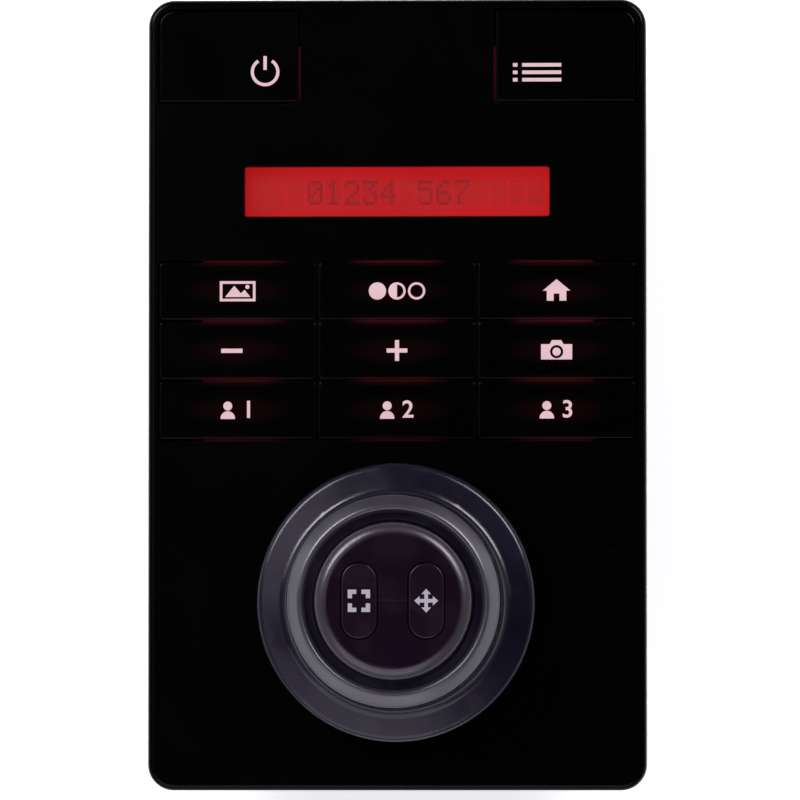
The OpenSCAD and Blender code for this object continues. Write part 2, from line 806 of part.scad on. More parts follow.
module lift_carrier() color([0.30, 0.31, 0.33]) {
    translate([0, stick_y, z_pivot]) difference() {
        union() {
            tube(carrier_in, carrier_out, -ring_h, ring_h);
            for (x = [-1, 1], y = [-1, 1])
                translate([x * post_in, y * post_in, -lug_h]) cylinder(r = post_r + 1.6, h = 2 * lug_h);
            for (a = [45:90:315])
                rotate(a) translate([carrier_out - 1.5, -2.4, -lug_h])
                    cube([post_in * sqrt(2) - carrier_out, 4.8, 2 * lug_h]);
        }
        for (x = [-1, 1], y = [-1, 1])
            translate([x * post_in, y * post_in, -lug_h - eps])
                cylinder(r = post_r + run_gap, h = 2 * lug_h + 2 * eps);
        pin_pair(pin_r, carrier_in - 1, carrier_out + 1);
    }
}

module ring_pins() color([0.75, 0.76, 0.78]) {
    translate([0, stick_y, z_pivot]) pin_pair(pin_r, ring_in + 0.3, carrier_out);
}

module gimbal_ring() color([0.62, 0.63, 0.65]) {
    translate([0, stick_y, z_pivot]) difference() {
        tube(ring_in, ring_out, -ring_h, ring_h);
        pin_pair(pin_r + run_gap, ring_in - 1, ring_out + 1);
        rotate(90) pin_pair(pin_r, ring_in - 1, ring_out + 1);
    }
}

module hub_pins() color([0.75, 0.76, 0.78]) {
    translate([0, stick_y, z_pivot]) rotate(90) pin_pair(pin_r, hub_r - 2, ring_out);
}

module gimbal_hub() color([0.36, 0.37, 0.39]) {
    translate([0, stick_y, z_pivot]) difference() {
        union() {
            tube(stem_r + run_gap, hub_r, -hub_h, hub_h);
            tube(crown_in, crown_out, hub_h - eps, hub_h + crown_h);
        }
        rotate(90) pin_pair(pin_r + run_gap, hub_r - 2.2, hub_r + 1);
        translate([0, -2.3, hub_h]) cube([crown_out + 1, 4.6, crown_h + 1]);
    }
}

module twist_spring() color([0.70, 0.70, 0.72]) {
    translate([0, stick_y, z_pivot + hub_h + crown_h])
        coil(collar_r + 0.9, wire_r + 0.1, collar_r + 0.9, 4, 3);
}

module stem() color([0.66, 0.67, 0.69]) {
    translate([0, stick_y, 0]) {
        difference() {
            rotate_extrude() {
                translate([bore_r, z_pivot - stem_down])
                    square([stem_r - bore_r, stem_down + hub_h + 1]);
                translate([bore_r, z_pivot + hub_h + 0.15])
                    square([collar_r - bore_r, stem_top - z_pivot - hub_h - 0.15]);
                translate([bore_r, stem_top - stem_flange_t])
                    square([stem_flange_r - bore_r, stem_flange_t]);
            }
            tube(stem_r - 0.6, stem_r + 2, z_pivot - hub_h - 0.15 - clip_t, z_pivot - hub_h - 0.15);
            for (a = [30:120:270])
                rotate(a) translate([stem_screw_r, 0, stem_top - stem_flange_t - eps])
                    cylinder(r = small_r + thread_gap, h = stem_flange_t + 2 * eps);
        }
        translate([collar_r - 0.5, -1, z_pivot + hub_h + 0.3]) cube([crown_out - 0.3 - collar_r + 0.5, 2, crown_h - 0.5]);
    }
}

module stem_clip() color([0.45, 0.46, 0.48]) {
    translate([0, stick_y, z_pivot - hub_h - 0.15 - clip_t]) linear_extrude(clip_t)
        difference() {
            circle(r = stem_r + 2);
            circle(r = stem_r - 0.6 + thread_gap);
            translate([0, -1.4]) square([20, 2.8]);
        }
}

module stem_magnet() color([0.62, 0.63, 0.64]) {
    translate([0, stick_y, z_pivot - stem_down]) tube(bore_r, stem_r, -magnet_t, 0);
}

module stem_screws() color([0.6, 0.6, 0.62]) {
    translate([0, stick_y, stem_top + web_t])
        for (a = [30:120:270])
            rotate(a) translate([stem_screw_r, 0, 0]) mirror([0, 0, 1]) small_screw(web_t + stem_flange_t);
}

// Knob with a skirt that slopes down to a round rim
module puck_body() color([0.10, 0.095, 0.13]) {
    slant = [sin(skirt_slope), cos(skirt_slope)];
    rim = [puck_r - lip_r, lip_r] + lip_r * slant;
    root = [side_r, rim[1] + (rim[0] - side_r) * tan(skirt_slope)];
    bend = [side_r + flare_r, rim[1] + (flare_r - (side_r + flare_r - rim[0]) * slant[0]) / slant[1]];
    foot = bend - flare_r * slant;
    translate([0, stick_y, z_puck]) difference() {
        rotate_extrude() difference() {
            union() {
                square([side_r, body_h]);
                polygon([[0, 0], [puck_r - lip_r, 0], rim, root, [0, root[1]]]);
                translate([puck_r - lip_r, lip_r]) circle(r = lip_r);
                difference() {
                    polygon([[side_r - overlap, bend[1]], [side_r - overlap, lip_r], [foot[0], lip_r], foot, bend]);
                    translate(bend) circle(r = flare_r);
                }
            }
            translate([-1, -1]) square([recess_r + 1, recess_h + 1]);
            translate([-1, 0]) square([bore_r + 1.6, body_h + 1]);
            translate([-1, recess_h + web_t]) square([cap_r - 0.9, body_h]);
            translate([-1, z_puck_board]) square([cap_r - 0.3, body_h]);
            translate([-1, z_cap_seat]) square([cap_r + 1.1, body_h]);
        }
        for (a = [30:120:270])
            rotate(a) translate([stem_screw_r, 0, recess_h - eps]) cylinder(r = small_r + 0.15, h = web_t + 2 * eps);
    }
}

// Ring with a round crest that slopes down to its outer edge and stays clear of the cap
module puck_ring() color([0.36, 0.35, 0.40]) {
    c = [ridge_r, body_h + ridge_up];
    p = [max(side_r - ring_in_edge, ridge_r + ridge_w + 0.02), body_h + ring_lip];
    reach = norm(p - c);
    turn = atan2(p[1] - c[1], p[0] - c[0]) + acos((ridge_w - 0.01) / reach);
    touch = c + (ridge_w - 0.01) * [cos(turn), sin(turn)];
    translate([0, stick_y, z_puck]) rotate_extrude() {
        intersection() {
            translate(c) circle(r = ridge_w);
            translate([cap_r + free_gap, body_h]) square([puck_r, 2 * ridge_w + ridge_up]);
        }
        polygon([c, [c[0], body_h], [p[0], body_h], p, touch]);
    }
}

// Long shape with round ends, along Y
module pill(w, l, h) {
    linear_extrude(h) {
        square([w, l - w], center = true);
        for (y = [-1, 1]) translate([0, y * (l - w) / 2]) circle(r = w / 2);
    }
}

module puck_cap() color([0.10, 0.075, 0.11]) {
    translate([0, stick_y, z_puck]) difference() {
        rotate_extrude() difference() {
            union() {
                translate([0, z_cap_seat]) square([cap_r, cap_top - cap_round - z_cap_seat]);
                translate([0, z_cap_seat]) square([cap_r - cap_round, cap_top - z_cap_seat]);
                translate([cap_r - cap_round, cap_top - cap_round]) quarter(cap_round, overlap);
            }
            translate([-1, z_cap_seat - 1]) square([cap_r - 0.2, cap_top - cap_plate - z_cap_seat + 1]);
        }
        for (x = [-1, 1])
            translate([x * button_x, 0, z_cap_seat])
                pill(button_w + 2 * slide_gap, button_l + 2 * slide_gap, 20);
    }
}

module puck_board() color([0.03, 0.20, 0.12]) {
    translate([0, stick_y, z_puck + z_puck_board]) cylinder(r = cap_r - 1.5, h = 1.2);
}

module puck_switches() color([0.20, 0.20, 0.21]) {
    for (x = [-1, 1])
        translate([x * button_x, stick_y, z_puck + z_puck_board + 1.2 + 0.6])
            cube([4.5, 4.5, 1.2], center = true);
}

module puck_cable() color([0.55, 0.10, 0.10]) {
    translate([0, stick_y, z_base]) cylinder(r = 1.2, h = z_puck + z_puck_board - z_base);
}

// Puck button with the flange that keeps it under the cap
module puck_button(x) {
    z_flange_top = z_puck + cap_top - cap_plate - 0.1;
    z_tip = z_puck + z_puck_board + 2.4 + button_travel + 0.1;
    translate([x, stick_y, z_flange_top - 0.8]) {
        pill(button_w + 1, button_l + 1, 0.8);
        soft_slab(button_w, button_l, cap_plate + 1.2, button_w * 0.49, 0.4);
    }
    translate([x, stick_y, z_tip]) cylinder(r = 1.5, h = z_flange_top - 0.4 - z_tip);
}

module frame_button() color([0.09, 0.07, 0.10]) {
    puck_button(-button_x);
}

module move_button() color([0.09, 0.07, 0.10]) {
    puck_button(button_x);
}

// Blade under a key cap, with a hook at each end
module key_blade(p) {
    translate([p[0] - blade_w / 2, p[1] - blade_t / 2, z_blade])
        cube([blade_w, blade_t, z_face - cap_t / 2 - z_blade]);
    translate([p[0] - blade_w / 2 - hook_out, p[1] - blade_t / 2, z_blade])
        cube([blade_w + 2 * hook_out, blade_t, hook_h]);
}

// Key of the field
module field_key(c, r) {
    p = key_at(c, r);
    translate([p[0], p[1], z_cap]) difference() {
        soft_slab(key_w, key_l, cap_h, key_r, key_edge);
        translate([0, 0, -eps]) linear_extrude(cap_h - cap_t + eps)
            square([key_w - 2 * cap_wall, key_l - 2 * cap_wall], center = true);
    }
    key_blade(p);
}

// Key in the top right corner
module corner_key() {
    gap = 2 * key_gap;
    difference() {
        intersection() {
            translate([0, 0, z_cap])
                soft_slab(in_w - gap, in_l - gap, cap_h, corner_r - bezel_wall - key_gap, key_edge);
            translate([top_key_x + key_gap + face_l / 2, top_key_y + key_gap + face_l / 2, z_cap])
                soft_slab(face_l, face_l, cap_h, key_r, key_edge);
        }
        translate([0, 0, z_cap - eps]) linear_extrude(cap_h - cap_t + eps)
            intersection() {
                round_rect(in_w - gap - 2 * cap_wall, in_l - gap - 2 * cap_wall, 1);
                translate([top_key_x + key_gap + cap_wall, top_key_y + key_gap + cap_wall]) square(face_l);
            }
    }
    key_blade(top_post);
}

module power_key() color([0.045, 0.045, 0.05]) mirror([1, 0, 0]) corner_key();
module menu_key() color([0.045, 0.045, 0.05]) corner_key();
module scene_key() color([0.045, 0.045, 0.05]) field_key(0, 0);
module colour_key() color([0.045, 0.045, 0.05]) field_key(1, 0);
module home_key() color([0.045, 0.045, 0.05]) field_key(2, 0);
module minus_key() color([0.045, 0.045, 0.05]) field_key(0, 1);
module plus_key() color([0.045, 0.045, 0.05]) field_key(1, 1);
module camera_key() color([0.045, 0.045, 0.05]) field_key(2, 1);
module user_key_1() color([0.045, 0.045, 0.05]) field_key(0, 2);
module user_key_2() color([0.045, 0.045, 0.05]) field_key(1, 2);
module user_key_3() color([0.045, 0.045, 0.05]) field_key(2, 2);

front_bezel();
rear_housing();
housing_seal();
panel_gasket();
mounting_inserts();
housing_screws();
display_window();
display_gasket();
lcd_panel();
lcd_backlight();
lcd_frame();
key_guide();
keypad_mat();
main_board();
board_parts();
key_leds();
small_screws();
network_board();
network_parts();
ethernet_jack();
jack_contacts();
board_ribbon();
stick_ribbon();
stick_top_plate();
stick_base();
guide_posts();
lift_springs();
sensor_board();
centering_spring();
stick_boot();
lift_carrier();
ring_pins();
gimbal_ring();
hub_pins();
gimbal_hub();
twist_spring();
stem();
stem_clip();
stem_magnet();
stem_screws();
puck_body();
puck_ring();
puck_cap();
puck_board();
puck_switches();
puck_cable();
frame_button();
move_button();
power_key();
menu_key();
scene_key();
colour_key();
home_key();
minus_key();
plus_key();
camera_key();
user_key_1();
user_key_2();
user_key_3();
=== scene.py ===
# %% [markdown]
# # A console hand controller with a joystick puck
#
# The real object is a black controller that is let into a console. It has a one-line display with a red
# backlight, eleven flat keys with lit legends, and a sprung puck that steers with a push, a tilt or a
# twist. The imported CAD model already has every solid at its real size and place. This lesson dresses
# it: each step says what a piece is on the real object, how it could be made in Blender, and why this
# way was chosen.

# %% Load the frame
import math

import bmesh
import bpy
from mathutils import Matrix, Vector


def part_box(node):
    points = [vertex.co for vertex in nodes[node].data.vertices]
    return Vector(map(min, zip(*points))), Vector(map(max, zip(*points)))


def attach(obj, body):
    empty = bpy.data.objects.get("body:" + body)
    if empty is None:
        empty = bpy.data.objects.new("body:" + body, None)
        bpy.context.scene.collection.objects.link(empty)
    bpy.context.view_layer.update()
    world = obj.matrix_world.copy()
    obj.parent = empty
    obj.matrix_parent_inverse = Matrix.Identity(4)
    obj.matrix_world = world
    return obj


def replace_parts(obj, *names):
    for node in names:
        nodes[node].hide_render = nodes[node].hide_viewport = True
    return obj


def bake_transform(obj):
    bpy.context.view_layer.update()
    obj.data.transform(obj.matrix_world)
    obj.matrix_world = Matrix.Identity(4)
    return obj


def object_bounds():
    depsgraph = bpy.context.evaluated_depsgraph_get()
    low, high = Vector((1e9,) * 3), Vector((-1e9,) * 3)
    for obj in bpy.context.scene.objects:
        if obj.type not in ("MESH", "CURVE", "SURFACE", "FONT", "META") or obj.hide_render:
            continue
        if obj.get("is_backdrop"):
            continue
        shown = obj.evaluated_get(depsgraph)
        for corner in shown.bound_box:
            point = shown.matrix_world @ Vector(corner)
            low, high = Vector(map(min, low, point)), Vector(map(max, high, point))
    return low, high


MM = 0.001
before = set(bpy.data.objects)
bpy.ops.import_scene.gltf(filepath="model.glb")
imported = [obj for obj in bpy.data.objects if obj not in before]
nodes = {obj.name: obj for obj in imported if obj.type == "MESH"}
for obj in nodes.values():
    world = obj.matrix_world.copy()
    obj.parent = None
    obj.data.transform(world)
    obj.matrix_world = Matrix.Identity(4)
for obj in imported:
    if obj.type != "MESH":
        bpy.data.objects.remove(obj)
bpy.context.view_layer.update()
scene = bpy.context.scene
scene.view_settings.view_transform = "Standard"
FACE_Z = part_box("front_bezel")[1].z
PUCK_Y = (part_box("puck_body")[0].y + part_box("puck_body")[1].y) / 2
print("nodes:", len(nodes), "face height:", round(FACE_Z / MM, 2), "mm")

# %% [markdown]
# ## Camera
#
# The photograph looks almost straight down on the face, from slightly right of the middle and slightly
# below it: the top of the puck is shifted against its base by a few pixels. A long lens keeps the sides
# of the casing out of sight, as in the photograph. One pixel covers 0.1733 mm of the face, which gives
# the focal length.

# %% Camera
PIXEL = 0.1733 * MM
PICTURE = 800
SENSOR = 36
DISTANCE = 1.5
LEAN_RIGHT = math.radians(2.1)
LEAN_DOWN = math.radians(2.47)


def linked(name, data):
    holder = bpy.data.objects.new(name, data)
    scene.collection.objects.link(holder)
    return holder


aim = Vector((0.52 * MM, -1.0 * MM, FACE_Z))
lean = Vector((math.tan(LEAN_RIGHT), -math.tan(LEAN_DOWN), 1)).normalized()
right = Vector((0, 1, 0)).cross(lean).normalized()
up = lean.cross(right)
camera_data = bpy.data.cameras.new("photo_camera")
camera_data.sensor_width = SENSOR
camera_data.lens = SENSOR * DISTANCE / (PICTURE * PIXEL)
camera = linked("photo_camera", camera_data)
looking = Matrix((right, up, lean)).transposed().to_4x4()
camera.matrix_world = Matrix.Translation(aim + lean * DISTANCE) @ looking
scene.camera = camera
print("lens:", round(camera_data.lens), "mm")

# %% [markdown]
# ## Lamps
#
# The background is white, and the face is the blackest thing in the picture. A mirror-like black
# surface shows whatever stands behind the camera, so little light comes from overhead. Two soft boxes
# stand behind the display end, left and right: they draw the two bright arcs on the puck's cap. A wide,
# weak one at the other end lights the lower half of the ring and the skirt, and a small one high on the
# left makes the skirt paler on that side. Three low ones light the ridge ring alone, by light linking.

# %% Lamps
BOX_SIZE, BOX_COLOUR = (0.46, 0.22), (1.0, 0.95, 1.0)
LOW_SIZE, LOW_COLOUR = (1.0, 0.2), (0.97, 0.95, 1.0)
LOW_Z = 0.31


def soft_box(name, place, size, watts, colour):
    lamp = bpy.data.lights.new(name, "AREA")
    lamp.shape = "RECTANGLE"
    lamp.size, lamp.size_y = size
    lamp.energy = watts
    lamp.color = colour
    holder = linked(name, lamp)
    holder.location = place
    target = Vector((0, PUCK_Y * 0.5, FACE_Z))
    holder.rotation_euler = (target - Vector(place)).to_track_quat("-Z", "Y").to_euler()
    return holder


soft_box("left_box", (-0.52, 0.46, 0.72), BOX_SIZE, 4.7, BOX_COLOUR)
soft_box("right_box", (0.50, 0.46, 0.72), BOX_SIZE, 4.2, BOX_COLOUR)
soft_box("front_fill", (-0.19, -0.77, 0.96), (1.25, 1.00), 5.3, (0.88, 0.81, 1.0))
soft_box("left_top", (-0.40, 0.19, 1.26), (0.45, 0.28), 0.5, (0.86, 0.79, 1.0))
low_lamps = []
for name, x, y, watts in (
    ("low_left", -0.56, -0.08, 0.95),
    ("low_right", 0.56, -0.08, 0.95),
    ("low_front", 0, -0.56, 0.7),
):
    lamp = soft_box(name, (x, PUCK_Y + y, LOW_Z), LOW_SIZE, watts, LOW_COLOUR)
    lamp.visible_camera = False
    low_lamps.append(lamp)

# %% [markdown]
# ## Helpers for shader nodes
#
# A node tree is long to write out: make a node, set its sockets, link it. A few helpers do that and
# hand back the output that matters. Each takes a number, a colour or another node's output, so a chain
# of them reads like a formula.

# %% Helpers for shader nodes
def set_input(tree, socket, value):
    if isinstance(value, bpy.types.NodeSocket):
        tree.links.new(value, socket)
    elif value is not None:
        socket.default_value = value


def set_inputs(tree, node, values):
    for label, value in values.items():
        set_input(tree, node.inputs[label], value)


def math_node(tree, operation, first, second=None, third=None):
    node = tree.nodes.new("ShaderNodeMath")
    node.operation = operation
    for socket, value in zip(node.inputs, (first, second, third)):
        set_input(tree, socket, value)
    return node.outputs[0]


def smooth_step(tree, value, low, high, start=0.0, end=1.0):
    node = tree.nodes.new("ShaderNodeMapRange")
    node.interpolation_type = "SMOOTHSTEP"
    set_inputs(tree, node, {"Value": value, "From Min": low, "From Max": high})
    set_inputs(tree, node, {"To Min": start, "To Max": end})
    return node.outputs["Result"]


def place_of(tree, kind="Object"):
    return tree.nodes.new("ShaderNodeTexCoord").outputs[kind]


def axes_of(tree, vector):
    axes = tree.nodes.new("ShaderNodeSeparateXYZ")
    tree.links.new(vector, axes.inputs[0])
    return axes.outputs


def noise(tree, vector, scale, detail=None, distortion=None):
    node = tree.nodes.new("ShaderNodeTexNoise")
    set_inputs(tree, node, {"Vector": vector, "Scale": scale, "Detail": detail, "Distortion": distortion})
    return node.outputs["Fac"]


def colour_ramp(tree, factor, first, last, end=1.0):
    node = tree.nodes.new("ShaderNodeValToRGB")
    low, high = node.color_ramp.elements
    low.color = (*first, 1)
    high.color = (*last, 1)
    high.position = end
    tree.links.new(factor, node.inputs[0])
    return node.outputs[0]


def new_material(name):
    material = bpy.data.materials.new(name)
    material.use_nodes = True
    tree = material.node_tree
    return material, tree, tree.nodes["Principled BSDF"]


print("helpers ready")

# %% [markdown]
# ## Sky and floor
#
# The sky is dark overhead and bright only near the horizon, and darker beyond the display end, because
# the photograph shows the puck's slopes dark on that side. The floor is pale paper. A white picture
# behind the object would take no shadow, so it is a real surface, and for camera, glossy and
# transmission rays it glows a little to read as white. It lies just below the object, is clear from
# below and has an opening under the box, so that the underside can be looked at too.

# %% Sky
sky = bpy.data.worlds.new("studio_sky")
sky.use_nodes = True
scene.world = sky
tree = sky.node_tree
axes = axes_of(tree, place_of(tree, "Generated"))
set_inputs(tree, tree.nodes["Background"], {
    "Color": colour_ramp(tree, axes["Z"], (0.60, 0.61, 0.64), (0.015, 0.015, 0.017), end=0.75),
    "Strength": smooth_step(tree, axes["Y"], 0.25, 0.75, start=0.78, end=0.18),
})
print("sky:", sky.name)

# %% Floor
FLOOR_HALF = 3
FLOOR_Z = -0.2 * MM
OPENING = (28 * MM, 54 * MM)
FLOOR_GLOW = 0.60
floor_corners = [(x * i, y * j, FLOOR_Z) for x, y in ((FLOOR_HALF, FLOOR_HALF), OPENING)
                 for i, j in ((-1, -1), (1, -1), (1, 1), (-1, 1))]
floor_mesh = bpy.data.meshes.new("floor")
floor_mesh.from_pydata(floor_corners, [], [(i, (i + 1) % 4, (i + 1) % 4 + 4, i + 4) for i in range(4)])
floor = linked("floor", floor_mesh)
paper, tree, bsdf = new_material("pale_paper")
rays = tree.nodes.new("ShaderNodeLightPath").outputs
seen = math_node(tree, "MAXIMUM", rays["Is Camera Ray"], rays["Is Glossy Ray"])
seen = math_node(tree, "MAXIMUM", seen, rays["Is Transmission Ray"])
set_inputs(tree, bsdf, {
    "Roughness": 0.9,
    "Specular IOR Level": 0.1,
    "Base Color": colour_ramp(tree, noise(tree, None, 60), (0.88, 0.88, 0.885), (0.92, 0.92, 0.92)),
    "Emission Color": (1, 1, 1, 1),
    "Emission Strength": math_node(tree, "MULTIPLY", seen, FLOOR_GLOW),
})
side = tree.nodes.new("ShaderNodeNewGeometry")
clear = tree.nodes.new("ShaderNodeBsdfTransparent")
shown = tree.nodes.new("ShaderNodeMixShader")
for socket, source in zip(shown.inputs, (side.outputs["Backfacing"], bsdf.outputs[0], clear.outputs[0])):
    tree.links.new(source, socket)
tree.links.new(shown.outputs[0], tree.nodes["Material Output"].inputs["Surface"])
floor_mesh.materials.append(paper)
floor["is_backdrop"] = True
print("floor opening:", [round(2 * v / MM) for v in OPENING], "mm")

# %% [markdown]
# ## Effects that several finishes share
#
# Moulded plastic has a fine spark-eroded grain, its edges rub lighter and also get a painted highlight,
# and hands leave smudges that change the gloss. Each of these is one shader node group, so every material
# can use it with its own numbers. A group could also hold the whole shader, but then the shader can't be
# read one material at a time, so the groups put out only heights and masks.

# %% Grain of moulded plastic
def new_group(name, inputs, outputs):
    group = bpy.data.node_groups.new(name, "ShaderNodeTree")
    for label, value in inputs:
        socket = group.interface.new_socket(label, in_out="INPUT", socket_type="NodeSocketFloat")
        socket.default_value = value
    for label in outputs:
        group.interface.new_socket(label, in_out="OUTPUT", socket_type="NodeSocketFloat")
    return group, group.nodes.new("NodeGroupInput").outputs, group.nodes.new("NodeGroupOutput")


grain_group, given, put_out = new_group("moulded_grain", [("Scale", 3000.0)], ["Height", "Mottle"])
tree = grain_group
place = place_of(tree)
bumps = tree.nodes.new("ShaderNodeTexVoronoi")
bumps.feature = "SMOOTH_F1"
set_inputs(tree, bumps, {"Vector": place, "Scale": given["Scale"]})
fine = noise(tree, place, math_node(tree, "MULTIPLY", given["Scale"], 1.7), 3)
set_inputs(tree, put_out, {
    "Height": math_node(tree, "MULTIPLY_ADD", bumps.outputs["Distance"], 0.6, fine),
    "Mottle": noise(tree, place, 90, 4),
})
print("group:", grain_group.name)

# %% Rubbed edges with a painted highlight
edge_group, given, put_out = new_group("rubbed_edges_and_painted_highlight", [("Radius", 0.0004), ("Breakup", 250.0)], ["Mask"])
tree = edge_group
# Paler edges: partly wear, partly a painted highlight where a rounded edge would catch the light.
surface = tree.nodes.new("ShaderNodeNewGeometry")
soft_edge = tree.nodes.new("ShaderNodeBevel")
soft_edge.samples = 4
tree.links.new(given["Radius"], soft_edge.inputs["Radius"])
facing = tree.nodes.new("ShaderNodeVectorMath")
facing.operation = "DOT_PRODUCT"
tree.links.new(surface.outputs["Normal"], facing.inputs[0])
tree.links.new(soft_edge.outputs["Normal"], facing.inputs[1])
bent = math_node(tree, "SUBTRACT", 1.0, facing.outputs["Value"])
worn_and_highlit = smooth_step(tree, bent, 0.02, 0.25)
patchy = smooth_step(tree, noise(tree, place_of(tree), given["Breakup"], 4), 0.35, 0.7)
tree.links.new(math_node(tree, "MULTIPLY", worn_and_highlit, patchy), put_out.inputs["Mask"])
print("group:", edge_group.name)

# %% Marks of handling
marks_group, given, put_out = new_group("handling_marks", [("Size", 70.0)], ["Smudge", "Scratch"])
tree = marks_group
place = place_of(tree)
blots = noise(tree, place, given["Size"], 6, 0.6)
drawn_out = tree.nodes.new("ShaderNodeMapping")
set_inputs(tree, drawn_out, {"Vector": place, "Rotation": (0, 0, 0.5), "Scale": (40, 2600, 40)})
hairs = noise(tree, drawn_out.outputs["Vector"], 1.0)
set_inputs(tree, put_out, {
    "Smudge": smooth_step(tree, blots, 0.42, 0.68),
    "Scratch": smooth_step(tree, hairs, 0.70, 0.78),
})
print("group:", marks_group.name)

# %% [markdown]
# ## A finish from numbers
#
# Nearly every piece here is moulded, rubber or metal, so one function sets up a Principled material
# from a few numbers: two shades that the mottle mixes, a span of roughness that the smudges move
# through, the grain's scale and depth, and how pale the edges rub and catch their painted highlight.
# What is the same all over a surface goes straight on the socket.

# %% A finish from numbers
BUMP_STRENGTH = 0.6
SCRATCH_ROUGH = 0.08


def use_group(tree, group, **values):
    node = tree.nodes.new("ShaderNodeGroup")
    node.node_tree = group
    set_inputs(tree, node, values)
    return node.outputs


def mix_colour(tree, factor, first, second):
    node = tree.nodes.new("ShaderNodeMix")
    node.data_type = "RGBA"
    set_input(tree, node.inputs[0], factor)
    for socket, value in ((node.inputs[6], first), (node.inputs[7], second)):
        set_input(tree, socket, (*value, 1) if isinstance(value, tuple) else value)
    return node.outputs[2]


def finish(name, shades, rough, grain=(3000, 0.00001), rub_and_highlight=None, metal=0.0, specular=0.5, smudge=70):
    material, tree, bsdf = new_material(name)
    texture = use_group(tree, grain_group, Scale=grain[0])
    colour = mix_colour(tree, texture["Mottle"], *shades)
    # The edge colour is part wear, part painted highlight.
    if rub_and_highlight:
        edges = use_group(tree, edge_group, Radius=rub_and_highlight[1])
        colour = mix_colour(tree, edges["Mask"], colour, rub_and_highlight[0])
    marks = use_group(tree, marks_group, Size=smudge)
    span = math_node(tree, "MULTIPLY_ADD", marks["Smudge"], rough[1] - rough[0], rough[0])
    bump = tree.nodes.new("ShaderNodeBump")
    set_inputs(tree, bump, {"Strength": BUMP_STRENGTH, "Distance": grain[1], "Height": texture["Height"]})
    set_inputs(tree, bsdf, {
        "Metallic": metal,
        "Specular IOR Level": specular,
        "Base Color": colour,
        "Roughness": math_node(tree, "MULTIPLY_ADD", marks["Scratch"], SCRATCH_ROUGH, span),
        "Normal": bump.outputs["Normal"],
    })
    return material


def paint(mesh, material):
    mesh.materials.clear()
    mesh.materials.append(material)


def dress(material, *names):
    for name in names:
        paint(nodes[name].data, material)


print("groups:", [group.name for group in bpy.data.node_groups])

# %% [markdown]
# ## Casing
#
# The bezel and the key caps are deep black with a satin sheen, so dark that the photograph shows them
# as almost nothing. The box behind the panel is a plainer moulding with a coarser grain. Its gasket is
# closed-cell foam.

# %% Casing
BLACK = ((0.0002, 0.0002, 0.0003), (0.0004, 0.0004, 0.0005))
DARK = ((0.012, 0.012, 0.013), (0.02, 0.02, 0.022))
black_face = finish("satin_black_face", BLACK, (0.20, 0.23), (2600, 0.000003),
                    ((0.004, 0.004, 0.005), 0.0005), specular=0.12)
black_key = finish("satin_black_key", BLACK, (0.18, 0.21), (3400, 0.000002),
                   ((0.003, 0.003, 0.004), 0.0003), specular=0.12, smudge=110)
moulding = finish("grained_black_housing", DARK, (0.52, 0.57), (1500, 0.00003),
                  ((0.05, 0.05, 0.055), 0.0006))
seal_rubber = finish("silicone_seal", ((0.010, 0.010, 0.011), (0.016, 0.016, 0.018)), (0.55, 0.7),
                     (2200, 0.00001))
foam = finish("closed_cell_foam", ((0.008, 0.008, 0.009), (0.020, 0.020, 0.022)), (0.8, 0.95),
              (900, 0.0002))
KEYS = [n for n in nodes if n.endswith("_key") or n.startswith("user_key")]
dress(black_face, "front_bezel")
dress(moulding, "rear_housing", "ethernet_jack")
dress(seal_rubber, "housing_seal")
dress(foam, "panel_gasket", "display_gasket")
print("keys:", sorted(KEYS))

# %% [markdown]
# ## Metal and inner pieces
#
# Brass inserts, zinc screws, the milled joystick frame and the springs are seen only from behind,
# through a gap or with the casing open, but each has its own finish all the same.

# %% Metal and inner pieces
brass = finish("knurled_brass", ((0.62, 0.42, 0.16), (0.74, 0.53, 0.22)), (0.28, 0.42),
               (2600, 0.00002), metal=1.0)
zinc = finish("zinc_screw", ((0.46, 0.46, 0.48), (0.58, 0.58, 0.6)), (0.3, 0.45),
              (2600, 0.00001), metal=1.0)
milled = finish("milled_aluminium", ((0.52, 0.53, 0.55), (0.64, 0.65, 0.67)), (0.32, 0.45),
                (1800, 0.00001), metal=1.0)
ground = finish("ground_steel", ((0.45, 0.45, 0.47), (0.56, 0.56, 0.58)), (0.2, 0.32),
                (3000, 0.000006), metal=1.0)
gold = finish("gold_contact", ((0.75, 0.52, 0.18), (0.86, 0.62, 0.24)), (0.18, 0.3),
              (3000, 0.000004), metal=1.0)
board = finish("green_board", ((0.006, 0.05, 0.02), (0.010, 0.075, 0.03)), (0.3, 0.42), (1600, 0.00001))
chip = finish("chip_black", DARK, (0.45, 0.6), (2600, 0.00001))
acetal = finish("black_acetal", ((0.014, 0.014, 0.016), (0.022, 0.022, 0.025)), (0.35, 0.5),
                (2200, 0.00001))
ribbon_film = finish("ribbon_film", ((0.55, 0.53, 0.46), (0.64, 0.62, 0.55)), (0.3, 0.45),
                     (1200, 0.00001))
silicone = finish("clear_silicone", ((0.55, 0.54, 0.52), (0.66, 0.65, 0.63)), (0.5, 0.65),
                  (2000, 0.00001))
wire_red = finish("red_wire", ((0.22, 0.02, 0.02), (0.30, 0.03, 0.03)), (0.4, 0.55), (2600, 0.00001))
boot_rubber = finish("soft_black_rubber", ((0.007, 0.007, 0.008), (0.012, 0.012, 0.013)), (0.55, 0.7),
                     (2400, 0.00001))
dress(brass, "mounting_inserts")
dress(zinc, "housing_screws", "small_screws", "stem_screws")
dress(milled, "stick_top_plate", "stick_base", "gimbal_ring", "stem", "lcd_frame")
dress(ground, "guide_posts", "lift_springs", "centering_spring", "twist_spring", "ring_pins", "hub_pins",
      "stem_clip", "stem_magnet")
dress(gold, "jack_contacts")
dress(board, "main_board", "network_board", "sensor_board", "puck_board")
dress(chip, "board_parts", "network_parts", "puck_switches")
dress(acetal, "lift_carrier", "gimbal_hub")
dress(ribbon_film, "board_ribbon", "stick_ribbon")
